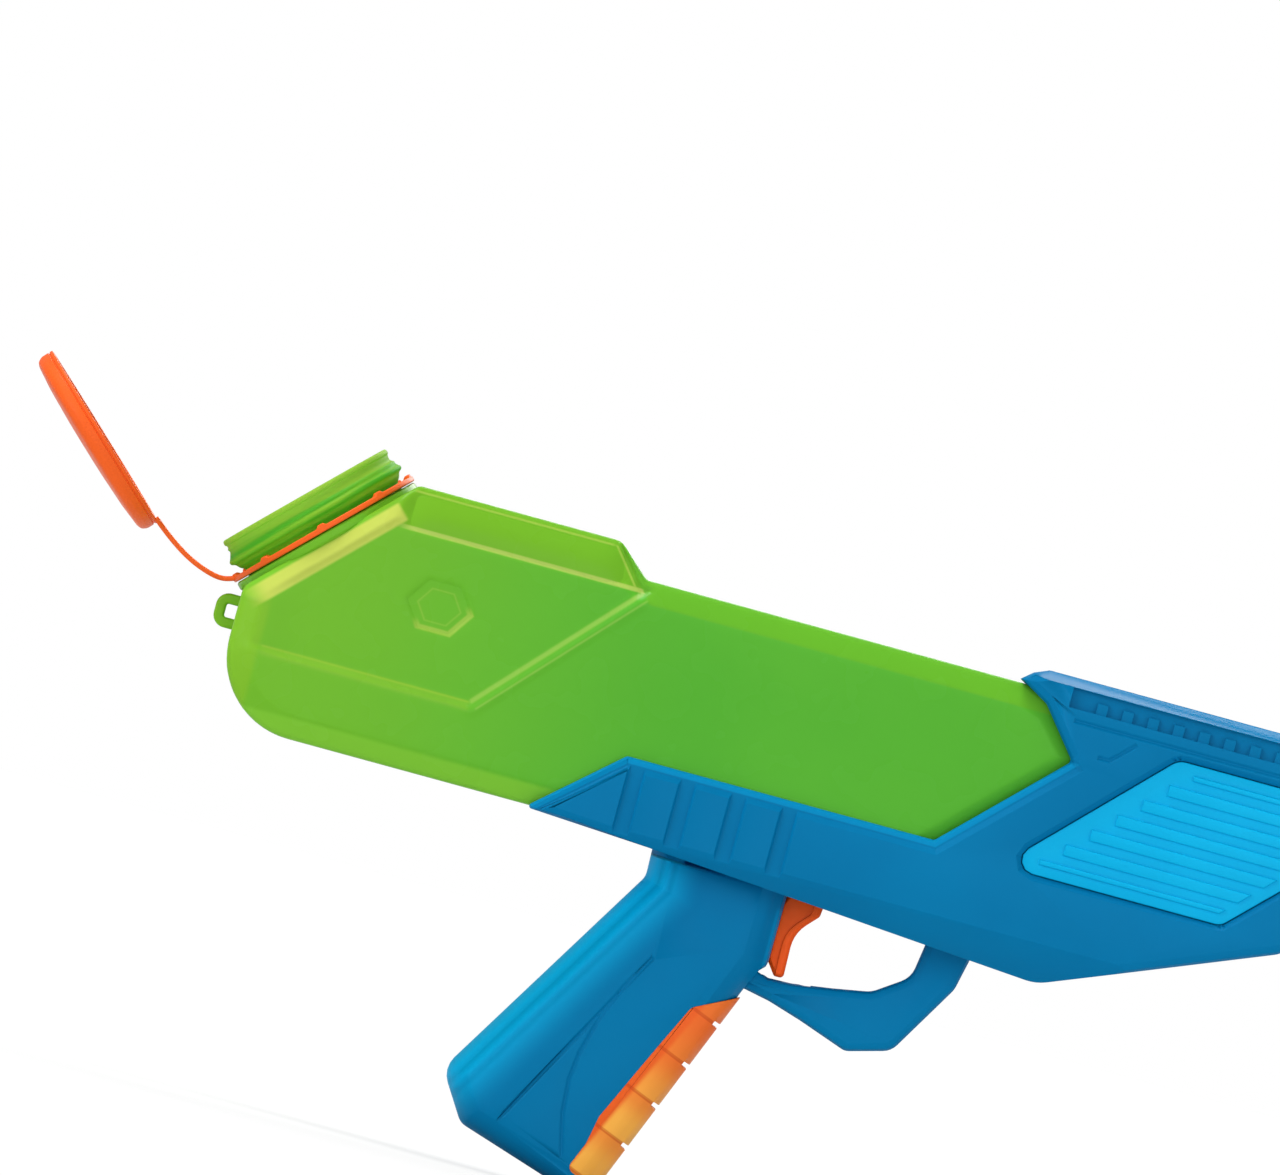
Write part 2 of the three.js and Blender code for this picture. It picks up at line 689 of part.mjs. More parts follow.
function makeHousing() {
  const flank = BODY_WIDTH / 2;
  const upper = slab(bodyCorners, BODY_WIDTH, { bevel: BODY_BEVEL, arcs: 4 });
  const section = new THREE.Shape([
    new THREE.Vector2(TOP_BEVEL_IN - flank, BODY_TOP_Z + GAP),
    new THREE.Vector2(-flank, BODY_TOP_Z - TOP_BEVEL_DROP),
    new THREE.Vector2(-flank, CREASE_Z),
    new THREE.Vector2(-flank + CREASE_IN, CREASE_Z - CREASE_DROP),
    new THREE.Vector2(flank - CREASE_IN, CREASE_Z - CREASE_DROP),
    new THREE.Vector2(flank, CREASE_Z),
    new THREE.Vector2(flank, BODY_TOP_Z - TOP_BEVEL_DROP),
    new THREE.Vector2(flank - TOP_BEVEL_IN, BODY_TOP_Z + GAP),
  ]);
  const keel = new THREE.ExtrudeGeometry(section, { depth: 2 * FAR, bevelEnabled: false });
  keel.rotateX(Math.PI / 2).rotateZ(Math.PI / 2).translate(-FAR, 0, 0);
  const grip = slab(gripCorners, GRIP_WIDTH, GRIP_EDGE);
  const guard = slab(guardCorners, GUARD_WIDTH, { bevel: GUARD_BEVEL, steps: 2, arcs: 4 });
  const skin = join(upper.intersect(solid(keel)), grip, guard);

  const core = slab(coreCorners, BODY_CORE_WIDTH, { bevel: 2, steps: 1, arcs: 3 });
  const keelCore = solid(keel).translate(0, 0, SHELL_WALL).scale([1, 0.9, 1]);
  const gripCore = slab(inset(gripCorners, SHELL_WALL), GRIP_WIDTH - 2 * SHELL_WALL, GRIP_CORE_EDGE);
  const throatFront = gripFrontTop[0] - SHELL_WALL;
  const throat = block(5, -10, GRIP_TOP_Z - SHELL_WALL - 6, throatFront, 10, GRIP_TOP_Z + 3);
  const tankRoom = slab(inset(tankCorners, -GAP), TANK_WIDTH + 2 * GAP, TANK_EDGE);
  const hollow = join(core.intersect(keelCore), gripCore, throat);

  let body = skin.subtract(hollow);
  body = body.add(innerRibs().intersect(join(skin, grip)));
  body = body.add(screwBosses().intersect(skin));
  body = body.subtract(join(tankRoom, innerRooms()));
  return body.subtract(outerCuts());
}

// Cradle ribs for the pump, bosses for the trigger pin and a saddle rib under the hose.
function innerRibs() {
  const ribs = [0, 1].map((i) => {
    const x = RIB_FIRST_X + i * RIB_SPAN;
    return block(x, -20, PUMP_Z - 12, x + RIB_THICKNESS, 20, GRIP_TOP_Z - 1);
  });
  const pinEnd = PIN_LENGTH / 2 + 1.6;
  const pinBoss = along(bar(PIN_BOSS_RADIUS, -pinEnd, pinEnd), "y", PIVOT_X, 0, PIVOT_Z);
  const pinFoot = block(
    PIVOT_X - PIN_BOSS_RADIUS,
    -pinEnd,
    PIVOT_Z - PIN_BOSS_RADIUS - 3,
    PIVOT_X + PIN_BOSS_RADIUS,
    pinEnd,
    PIVOT_Z,
  );
  return join(...ribs, pinBoss, pinFoot);
}

// Round posts that run from both flanks to the seam, one for each screw.
function screwBosses() {
  const radius = SCREW_HEAD_RADIUS + GAP + BOSS_WALL;
  const posts = SCREW_PLACES.map(([x, z]) =>
    along(bar(radius, -BODY_WIDTH / 2, BODY_WIDTH / 2), "y", x, 0, z),
  );
  return join(...posts);
}

// Room for everything that is held inside the housing.
function innerRooms() {
  const pumpBody = bar(PUMP_RADIUS + GAP, 0, PUMP_LENGTH + GLAND_DEPTH + 9, 24);
  const pump = along(pumpBody, "x", PUMP_REAR_X - GAP, 0, PUMP_Z);
  const blockTop = PUMP_Z + PUMP_RADIUS + 2 * GAP + BLOCK_HEIGHT + VALVE_CAP_HEIGHT + GAP;
  const valves = block(
    BLOCK_X - BLOCK_LENGTH / 2 - GAP,
    -BLOCK_WIDTH / 2 - GAP,
    PUMP_Z + 2,
    BLOCK_X + BLOCK_LENGTH / 2 + GAP,
    BLOCK_WIDTH / 2 + GAP,
    blockTop + 4,
  );
  const lever = block(
    PUMP_REAR_X + PUMP_LENGTH + GLAND_DEPTH + 0.5,
    -TRIGGER_WIDTH / 2 - RUNNING_GAP,
    TRIGGER_BOTTOM_Z - 0.5,
    PIVOT_X + HUB_RADIUS + 1.5,
    TRIGGER_WIDTH / 2 + RUNNING_GAP,
    TANK_SADDLE_Z,
  );
  const pinReach = PIN_LENGTH / 2 + GAP;
  const pin = along(bar(PIN_RADIUS + GAP, -pinReach, pinReach), "y", PIVOT_X, 0, PIVOT_Z);
  const nozzle = along(bar(NOZZLE_RADIUS + GAP, -10, 10, 24), "x", BODY_FRONT_X, 0, NOZZLE_Z);
  const screws = SCREW_PLACES.map(([x, z]) => {
    const shank = bar(SCREW_RADIUS + GAP, -SCREW_LENGTH + SCREW_SEAT_Y - 1, SCREW_SEAT_Y + 1, 12);
    const head = bar(SCREW_HEAD_RADIUS + GAP, SCREW_SEAT_Y, BODY_WIDTH);
    return along(join(shank, head), "y", x, 0, z);
  });
  return join(pump, valves, lever, pin, nozzle, hoseRoom(), ...screws);
}

// The saddle's rim, from its tip up to the tank's nose.
const rimPath = [[SADDLE_TIP_X, SADDLE_TIP_Z], [-13.4, RIM_Z], rimFoot, rimNose];

// Grooves and the sunk strip on the saddle, the toothed channel under the top edge, scribed
// lines, the panels' recesses and the finger insert's room.
function outerCuts() {
  const flank = BODY_WIDTH / 2;
  const cuts = [sunk(ribbon(rimPath, -RIM_STRIP, 8), GROOVE_DEPTH, PAD_SLOPE)];
  for (let i = 0; i < GROOVE_COUNT; i += 1) {
    const x = GROOVE_X + i * GROOVE_PITCH;
    const line = [[x, CREASE_Z - 6], [x, RIM_Z]];
    cuts.push(sunk(ribbon(line, -GROOVE_WIDTH / 2, GROOVE_WIDTH / 2), GROOVE_DEPTH, GROOVE_SLOPE));
  }
  const scribe = (line) => sunk(ribbon(line, -SCRIBE_WIDTH / 2, SCRIBE_WIDTH / 2), SCRIBE_DEPTH);
  cuts.push(scribe([[rimNose[0] - 2, LEDGE_Z], [BODY_FRONT_X - 6, LEDGE_Z]]));
  cuts.push(scribe([[127.7, LEDGE_Z - 2.4], [121.5, 113.9], [118.5, 113.9]]));
  const panelFloor = PANEL_SINK + PANEL_RIB_HEIGHT + PANEL_THICKNESS + GAP;
  cuts.push(slab(inset(panelCorners, -GAP), 2 * panelFloor, { arcs: 4 }));
  cuts.push(sunk(inset(panelCorners, -GAP), PANEL_BORDER));
  const creaseCuts = creases.map(scribe);
  const insertRoom = slab(inset(insertCorners, -GAP), GRIP_WIDTH + 4, { arcs: 4 });
  return join(
    insertRoom,
    onFlanks(join(...cuts, toothedChannel()), flank),
    onFlanks(join(...creaseCuts), GRIP_WIDTH / 2),
  );
}

// The channel under the top edge, with a row of low teeth left standing on its floor.
function toothedChannel() {
  const front = BODY_FRONT_X - 6;
  const channel = block(CHANNEL_X, -CHANNEL_DEPTH, CHANNEL_Z, front, 6, CHANNEL_Z + CHANNEL_HEIGHT);
  const count = Math.floor((front - TOOTH_X) / TOOTH_PITCH);
  const teeth = Array.from({ length: count }, (_, i) => {
    const x = TOOTH_X + i * TOOTH_PITCH;
    const top = TOOTH_DEPTH - CHANNEL_DEPTH;
    return block(x, -CHANNEL_DEPTH - 1, CHANNEL_Z, x + TOOTH_WIDTH, top, CHANNEL_Z + TOOTH_HEIGHT);
  });
  return channel.subtract(join(...teeth));
}

// The side panel's outline: a slanted rear end that follows the tank's nose.
const panelCorners = [
  [PANEL_REAR_X, PANEL_BOTTOM_Z, 4],
  [PANEL_FRONT_X - 16, PANEL_BOTTOM_Z, 4],
  [PANEL_FRONT_X, PANEL_BOTTOM_Z + 16, 4],
  [PANEL_FRONT_X, PANEL_TOP_Z, 4],
  [PANEL_REAR_X + PANEL_TOP_Z - PANEL_BOTTOM_Z - 1, PANEL_TOP_Z, 5],
];

// A ribbed panel on one flank: side is 1 for left and -1 for right.
function makePanel(side) {
  const flank = BODY_WIDTH / 2;
  const face = flank - PANEL_SINK - PANEL_RIB_HEIGHT;
  const plate = slab(panelCorners, PANEL_THICKNESS, { arcs: 4 });
  const field = slab(inset(panelCorners, 3.2), PANEL_RIB_HEIGHT * 2, { arcs: 4 });
  const pitch = (PANEL_TOP_Z - PANEL_BOTTOM_Z) / PANEL_RIBS;
  const ribs = [];
  for (let i = 0; i < PANEL_RIBS; i += 1) {
    const z = PANEL_BOTTOM_Z + (i + 0.5) * pitch - PANEL_RIB_WIDTH / 2;
    const top = z + PANEL_RIB_WIDTH;
    const rear = PANEL_REAR_X + top - PANEL_BOTTOM_Z + PANEL_RIB_START;
    ribs.push(block(rear, -PANEL_RIB_HEIGHT, z, PANEL_FRONT_X, PANEL_RIB_HEIGHT, top));
  }
  const raised = join(...ribs).intersect(field);
  return join(
    plate.translate(0, side * (face - PANEL_THICKNESS / 2), 0),
    raised.translate(0, side * face, 0),
  );
}

// The finger insert: a slice of the grip's front, hollow behind, stepped for the fingers.
function makeInsert() {
  const grip = slab(inset(gripCorners, -INSERT_STEP_DEPTH), GRIP_WIDTH, GRIP_EDGE);
  const core = slab(inset(gripCorners, INSERT_WALL), GRIP_WIDTH - 2 * INSERT_WALL, GRIP_CORE_EDGE);
  const piece = slab(insertCorners, GRIP_WIDTH + 4, { arcs: 4 }).intersect(grip).subtract(core);
  const low = new THREE.Vector2(...gripFrontLow);
  const rise = new THREE.Vector2(...gripFrontKnee).sub(low);
  const steps = [];
  for (let i = 0; i < INSERT_STEPS; i += 1) {
    const at = INSERT_FIRST + i * INSERT_PITCH;
    const notch = block(-INSERT_STEP_DEPTH, -30, -0.7, 30, 30, 0.7);
    const lean = new THREE.Matrix4().makeRotationY(Math.PI / 2 - rise.angle());
    const place = low.clone().addScaledVector(rise.clone().normalize(), at);
    lean.setPosition(place.x, 0, place.y);
    steps.push(notch.transform(lean.elements));
  }
  return piece.subtract(join(...steps));
}

function makeTrigger() {
  const corners = [
    [TRIGGER_BACK_X + 3.4, TRIGGER_BOTTOM_Z, 1],
    [TRIGGER_BACK_X + 6.2, TRIGGER_BOTTOM_Z, 1.2],
    [TRIGGER_BACK_X + 5.8, TRIGGER_BOTTOM_Z + 13.5, 16],
    [PIVOT_X + HUB_RADIUS - 1.2, TRIGGER_TOP_Z, 1.5],
    [PIVOT_X + HUB_RADIUS, PIVOT_Z + HUB_RADIUS, HUB_RADIUS],
    [PIVOT_X - HUB_RADIUS, PIVOT_Z + HUB_RADIUS, HUB_RADIUS],
    [TRIGGER_BACK_X, TRIGGER_TOP_Z + 1, 2],
    [TRIGGER_BACK_X, TRIGGER_BOTTOM_Z + 4.6, 3],
  ];
  const hole = along(bar(PIN_RADIUS + GAP, -TRIGGER_WIDTH, TRIGGER_WIDTH), "y", PIVOT_X, 0, PIVOT_Z);
  const edge = { bevel: 1, steps: 1, arcs: 5 };
  const web = slab(corners, TRIGGER_WIDTH - 2 * TRIGGER_BAND_HEIGHT, edge);
  const whole = slab(corners, TRIGGER_WIDTH, edge);
  const band = whole.subtract(slab(corners, TRIGGER_WIDTH + 2, { arcs: 5 }).translate(-TRIGGER_BAND, 0, 0));
  return join(web, band).subtract(hole);
}

const makePin = () =>
  along(bar(PIN_RADIUS, -PIN_LENGTH / 2, PIN_LENGTH / 2), "y", PIVOT_X, 0, PIVOT_Z);

// Pump lengths along X, measured from the cylinder's rear face.
const boreFront = PUMP_LENGTH;
const pistonFront = boreFront - GLAND_SPIGOT - GAP;
const pistonRear = pistonFront - PISTON_DEPTH;
const rodEnd = TRIGGER_BACK_X - GAP - PUMP_REAR_X;
const pumpPlace = (body) => along(body, "x", PUMP_REAR_X, 0, PUMP_Z);
const portX = PUMP_REAR_X + PUMP_END_WALL + 1.8;

function makeCylinder() {
  const tube = pumpPlace(
    turned([
      [0, 0],
      [PUMP_RADIUS, 0],
      [PUMP_RADIUS, boreFront],
      [BORE_RADIUS, boreFront],
      [BORE_RADIUS, PUMP_END_WALL],
      [0, PUMP_END_WALL],
    ], 24),
  );
  const port = bar(SEAT_RADIUS, PUMP_Z, PUMP_Z + PUMP_RADIUS + 1, 12).translate(portX, 0, 0);
  return tube.subtract(port);
}

function makeGland() {
  const face = boreFront + GAP;
  return pumpPlace(
    turned([
      [ROD_RADIUS + GAP, face - GLAND_SPIGOT],
      [BORE_RADIUS - GAP, face - GLAND_SPIGOT],
      [BORE_RADIUS - GAP, face],
      [PUMP_RADIUS, face],
      [PUMP_RADIUS, face + GLAND_DEPTH],
      [ROD_RADIUS + GAP, face + GLAND_DEPTH],
      [ROD_RADIUS + GAP, face - GLAND_SPIGOT],
    ], 24),
  );
}

function makePlunger() {
  const front = pistonFront - GAP;
  const rear = pistonRear;
  const land = (front - rear - PISTON_GROOVE) / 2;
  const piston = BORE_RADIUS - GAP;
  return pumpPlace(
    turned([
      [0, rear],
      [piston, rear],
      [piston, rear + land],
      [piston - PISTON_GROOVE_DEPTH, rear + land],
      [piston - PISTON_GROOVE_DEPTH, front - land],
      [piston, front - land],
      [piston, front],
      [ROD_RADIUS, front],
      [ROD_RADIUS, rodEnd - 1.2],
      [ROD_RADIUS - 1, rodEnd],
      [0, rodEnd],
    ], 24),
  );
}

function makePistonSeal() {
  const middle = (pistonFront - GAP + pistonRear) / 2;
  const half = PISTON_GROOVE / 2 - GAP;
  const inside = BORE_RADIUS - PISTON_GROOVE_DEPTH;
  const outside = BORE_RADIUS - 0.15;
  return pumpPlace(
    turned([
      [inside, middle - half],
      [outside - 0.3, middle - half],
      [outside, middle],
      [outside - 0.3, middle + half],
      [inside, middle + half],
      [inside, middle - half],
    ], 24),
  );
}

const makeReturnSpring = () =>
  pumpPlace(
    spring(
      "return_spring",
      RETURN_RADIUS,
      RETURN_WIRE,
      RETURN_COILS,
      PUMP_END_WALL + GAP,
      pistonRear - GAP,
    ),
  );

// Valve heights above the block's foot, which stands on the cylinder.
const blockFoot = PUMP_Z + PUMP_RADIUS + GAP;
const blockTop = blockFoot + BLOCK_HEIGHT;
const capFoot = blockTop + GAP;
const inletX = BLOCK_X - VALVE_PITCH / 2;
const outletValveX = BLOCK_X + VALVE_PITCH / 2;
const galleryZ = blockFoot + 2.4;
const outletSeatZ = galleryZ + SEAT_RADIUS + 0.6;
const inletBallZ = capFoot - GAP - BALL_RADIUS;
const outletBallZ = outletSeatZ + GAP + BALL_RADIUS;
const hosePortZ = outletBallZ + 0.4;

function makeValveBlock() {
  const half = BLOCK_LENGTH / 2;
  const shell = slab(
    [
      [BLOCK_X - half, blockFoot, 1],
      [BLOCK_X + half, blockFoot, 1],
      [BLOCK_X + half, blockTop, 1],
      [BLOCK_X - half, blockTop, 1],
    ],
    BLOCK_WIDTH,
    { bevel: 0.8, steps: 1, arcs: 2 },
  );
  const riser = bar(SEAT_RADIUS, blockFoot - 1, galleryZ, 12).translate(portX, 0, 0);
  const gallery = along(bar(SEAT_RADIUS, 0, VALVE_PITCH, 12), "x", inletX, 0, galleryZ);
  const inletBore = bar(VALVE_BORE, galleryZ - SEAT_RADIUS, blockTop + 1).translate(inletX, 0, 0);
  const seat = bar(SEAT_RADIUS, galleryZ, outletSeatZ + 1, 12).translate(outletValveX, 0, 0);
  const outletBore = bar(VALVE_BORE, outletSeatZ, blockTop + 1).translate(outletValveX, 0, 0);
  const port = along(bar(HOSE_BORE, 0, BLOCK_WIDTH, 12), "y", outletValveX, 0, hosePortZ);
  return shell.subtract(join(riser, gallery, inletBore, seat, outletBore, port));
}

function makeValveCap() {
  const half = BLOCK_LENGTH / 2;
  const plate = block(
    BLOCK_X - half,
    -BLOCK_WIDTH / 2,
    capFoot,
    BLOCK_X + half,
    BLOCK_WIDTH / 2,
    capFoot + VALVE_CAP_HEIGHT,
  );
  const spigotTop = TANK_SADDLE_Z + TANK_WALL + GROMMET_LIP;
  const spigot = bar(SPIGOT_RADIUS, capFoot + 1, spigotTop).translate(inletX, 0, 0);
  const way = bar(SEAT_RADIUS, capFoot - 1, TANK_SADDLE_Z + 20, 12).translate(inletX, 0, 0);
  const pocketTop = capFoot + VALVE_CAP_HEIGHT - 1.2;
  const pocket = bar(VALVE_BORE, capFoot - 1, pocketTop).translate(outletValveX, 0, 0);
  return join(plate, spigot).subtract(join(way, pocket));
}

function makeBall(x, z) {
  const geometry = new THREE.SphereGeometry(BALL_RADIUS, 14, 9);
  geometry.translate(x, 0, z);
  return solid(geometry);
}

const makeInletSpring = () =>
  spring(
    "inlet_spring",
    VALVE_SPRING_RADIUS,
    VALVE_WIRE,
    VALVE_COILS,
    galleryZ - SEAT_RADIUS + GAP,
    inletBallZ - BALL_RADIUS + 0.55,
  ).translate(inletX, 0, 0);

const makeOutletSpring = () =>
  spring(
    "outlet_spring",
    VALVE_SPRING_RADIUS,
    VALVE_WIRE,
    VALVE_COILS,
    outletBallZ + BALL_RADIUS - 0.55,
    capFoot + VALVE_CAP_HEIGHT - 1.2 - GAP,
  ).translate(outletValveX, 0, 0);

// The hose's route from the outlet valve, beside the trigger and under the tank, to the nozzle.
const nozzleTailX = BODY_FRONT_X - SHELL_WALL - GAP - NOZZLE_FLANGE_DEPTH - NOZZLE_TAIL;
const hoseRoute = [
  new THREE.Vector3(outletValveX, BLOCK_WIDTH / 2 + GAP, hosePortZ),
  new THREE.Vector3(outletValveX, BLOCK_WIDTH / 2 + 2.4, hosePortZ),
  new THREE.Vector3(outletValveX + 5, 11.4, hosePortZ + 2),
  new THREE.Vector3(30, 11.8, 57.4),
  new THREE.Vector3(40, 15, 58.2),
  new THREE.Vector3(52, 21, 57.8),
  new THREE.Vector3(70, 21, 56.5),
  new THREE.Vector3(86, 17, 64),
  new THREE.Vector3(104, 11, 77),
  new THREE.Vector3(124, 5, 91),
  new THREE.Vector3(144, 1, 98.5),
  new THREE.Vector3(nozzleTailX - 8, 0, NOZZLE_Z),
  new THREE.Vector3(nozzleTailX - GAP, 0, NOZZLE_Z),
];

// A round bar swept along the hose's route.
function sweep(radius, steps) {
  const ring = new THREE.Shape();
  ring.absarc(0, 0, radius, 0, 2 * Math.PI, false);
  const geometry = new THREE.ExtrudeGeometry(ring, {
    steps,
    curveSegments: 4,
    extrudePath: new THREE.CatmullRomCurve3(hoseRoute),
    bevelEnabled: false,
  });
  return solid(geometry);
}

const makeHose = () => sweep(HOSE_RADIUS, 40);
const hoseRoom = () => sweep(HOSE_RADIUS + 2 * GAP, 40);

function makeNozzle() {
  const wall = SHELL_WALL + GAP;
  const bodyRear = -wall - NOZZLE_FLANGE_DEPTH;
  const outside = turned([
    [0, bodyRear - NOZZLE_TAIL],
    [HOSE_RADIUS + 2, bodyRear - NOZZLE_TAIL],
    [HOSE_RADIUS + 2, bodyRear],
    [NOZZLE_FLANGE, bodyRear],
    [NOZZLE_FLANGE, -wall],
    [NOZZLE_RADIUS, -wall],
    [NOZZLE_RADIUS, NOZZLE_REACH - 5],
    [NOZZLE_RADIUS - 4, NOZZLE_REACH],
    [0, NOZZLE_REACH],
  ], 24);
  const way = join(
    bar(HOSE_BORE, bodyRear - NOZZLE_TAIL - 1, NOZZLE_REACH - 4, 12),
    bar(NOZZLE_ORIFICE, 0, NOZZLE_REACH + 1, 12),
  );
  return along(outside.subtract(way), "x", BODY_FRONT_X, 0, NOZZLE_Z);
}

function makeMuzzle() {
  const rear = GAP;
  const bore = NOZZLE_RADIUS + GAP;
  const front = rear + MUZZLE_LENGTH;
  const ring = turned([
    [bore, rear],
    [MUZZLE_RADIUS, rear],
    [MUZZLE_RADIUS, rear + 5],
    [MUZZLE_RADIUS - 1.6, rear + 6.5],
    [MUZZLE_RADIUS - MUZZLE_TAPER, front - 5],
    [MUZZLE_RADIUS - MUZZLE_TAPER + 1, front - 3.5],
    [MUZZLE_RADIUS - MUZZLE_TAPER + 1, front - 1],
    [MUZZLE_RADIUS - MUZZLE_TAPER, front],
    [MUZZLE_MOUTH, front],
    [MUZZLE_MOUTH - 1, NOZZLE_REACH - 4],
    [bore, NOZZLE_REACH - 5],
    [bore, rear],
  ], 32);
  return along(ring, "x", BODY_FRONT_X, 0, NOZZLE_Z);
}

function makeScrew(x, z) {
  const tip = SCREW_SEAT_Y + GAP - SCREW_LENGTH;
  const seat = SCREW_SEAT_Y + GAP;
  const body = turned([
    [0, tip],
    [SCREW_RADIUS * 0.4, tip],
    [SCREW_RADIUS, tip + 2],
    [SCREW_RADIUS, seat],
    [SCREW_HEAD_RADIUS, seat],
    [SCREW_HEAD_RADIUS, seat + SCREW_HEAD_DEPTH * 0.6],
    [SCREW_HEAD_RADIUS * 0.55, seat + SCREW_HEAD_DEPTH],
    [0, seat + SCREW_HEAD_DEPTH],
  ], 12);
  return along(body, "y", x, 0, z);
}

// Pieces turned about the neck: heights run out along it.
const neckRing = (radius, bore, low, high, sides) =>
  turned([[bore, low], [radius, low], [radius, high], [bore, high], [bore, low]], sides);

const makeCapRing = () =>
  neckRing(RING_RADIUS, NECK_RADIUS + GAP, -RING_DEPTH / 2, RING_DEPTH / 2, 40);

function makeCap() {
  const top = capInside + CAP_WALL;
  return turned([
    [0, capInside],
    [capBore, capInside],
    [capBore, capSkirtEnd],
    [capRadius, capSkirtEnd],
    [capRadius, top - 1.6],
    [capRadius - 0.5, top - 0.5],
    [capRadius - 1.6, top],
    [0.7 * capRadius, top + 0.55 * CAP_DOME],
    [0, top + CAP_DOME],
  ], 40);
}

const makeCapSeal = () => bar(RIM_RADIUS + 0.4, sealBottom, sealBottom + SEAL_DEPTH, 40);

// The strap: a flat band on one smooth curve from the ring to the open cap's edge.
function makeStrap() {
  const ringEnd = neckPoint(-RING_RADIUS - 3 * GAP, 0);
  const capEnd = openPoint(neckPoint(-capRadius - GAP, capSkirtEnd + STRAP_DEPTH));
  const capLead = openPoint(neckPoint(-capRadius - 4.5, capSkirtEnd + STRAP_DEPTH - 0.3));
  const route = new THREE.SplineCurve(
    [
      ringEnd,
      new THREE.Vector3(ringEnd.x - 4, 0, ringEnd.z - 0.2),
      new THREE.Vector3(-146.4, 0, 98.1),
      new THREE.Vector3(-152, 0, 100.4),
      capLead,
      capEnd,
    ].map((point) => new THREE.Vector2(point.x, point.z)),
  );
  const middle = route.getSpacedPoints(18);
  const edge = (side) =>
    middle.map((point, i) => {
      const way = route.getTangentAt(i / (middle.length - 1));
      const out = new THREE.Vector2(-way.y, way.x).multiplyScalar((side * STRAP_DEPTH) / 2);
      return point.clone().add(out);
    });
  const band = [...edge(-1), ...edge(1).reverse()];
  return slab(band.map(({ x, y }) => [x, y]), STRAP_WIDTH);
}

// The assembly
const squirter = new THREE.Group();
squirter.name = "water_squirter";

function piece(name, body, finish, parent = squirter) {
  const mesh = new THREE.Mesh(geometryOf(body), finish);
  mesh.name = name;
  parent.add(mesh);
  return mesh;
}

const housing = makeHousing();
const rightHalf = block(-FAR, -FAR, -FAR, FAR, -SEAM / 2, FAR);
const leftHalf = block(-FAR, SEAM / 2, -FAR, FAR, FAR, FAR);
piece("body_shell_right", housing.intersect(rightHalf), FINISH.shell);
piece("body_shell_left", housing.intersect(leftHalf), FINISH.shell);
piece("side_panel_right", makePanel(-1), FINISH.panel);
piece("side_panel_left", makePanel(1), FINISH.panel);
piece("grip_insert", makeInsert(), FINISH.orange);
piece("tank", makeTank(), FINISH.tank);
piece("tank_grommet", makeGrommet(), FINISH.rubber);
piece("trigger", makeTrigger(), FINISH.orange);
piece("trigger_pin", makePin(), FINISH.steel);
piece("pump_cylinder", makeCylinder(), FINISH.natural);
piece("cylinder_gland", makeGland(), FINISH.natural);
piece("plunger", makePlunger(), FINISH.natural);
piece("piston_seal", makePistonSeal(), FINISH.rubber);
piece("return_spring", makeReturnSpring(), FINISH.steel);
piece("valve_block", makeValveBlock(), FINISH.natural);
piece("valve_cap", makeValveCap(), FINISH.natural);
piece("inlet_ball", makeBall(inletX, inletBallZ), FINISH.steel);
piece("inlet_spring", makeInletSpring(), FINISH.steel);
piece("outlet_ball", makeBall(outletValveX, outletBallZ), FINISH.steel);
piece("outlet_spring", makeOutletSpring(), FINISH.steel);
piece("outlet_tube", makeHose(), FINISH.hose);
piece("nozzle", makeNozzle(), FINISH.orange);
piece("muzzle_ring", makeMuzzle(), FINISH.orange);
SCREW_PLACES.forEach(([x, z], i) => piece(`body_screw_${i + 1}`, makeScrew(x, z), FINISH.steel));

// The ring turns on the neck; the cap hangs open from it on the strap.
const onNeck = new THREE.Group();
onNeck.position.set(NECK_X, 0, NECK_Z);
onNeck.rotation.y = neckTurn;
squirter.add(onNeck);
piece("cap_ring", makeCapRing(), FINISH.orange, onNeck);
piece("cap_strap", makeStrap(), FINISH.orange);

const hanging = new THREE.Group();
hanging.position.copy(hinge);
hanging.rotation.y = openTurn;
squirter.add(hanging);
const closed = new THREE.Group();
closed.position.set(NECK_X - CAP_HINGE_X, 0, NECK_Z - CAP_HINGE_Z);
closed.rotation.y = neckTurn;
hanging.add(closed);
piece("fill_cap", makeCap(), FINISH.orange, closed);
piece("cap_seal", makeCapSeal(), FINISH.rubber, closed);

export default squirter;
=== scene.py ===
# %% [markdown]
# # A trigger water squirter
# The toy is a bottle tank held in a two-part moulded housing. The solid model already fixes where
# every piece sits and how it moves, so this script only dresses it: fine surfaces for what shows,
# a finish for every piece, a pale floor, soft lamps and the camera of the photograph.

# %% The frame
import json
import math

import bmesh
import bpy
import numpy as np
from mathutils import Matrix, Vector

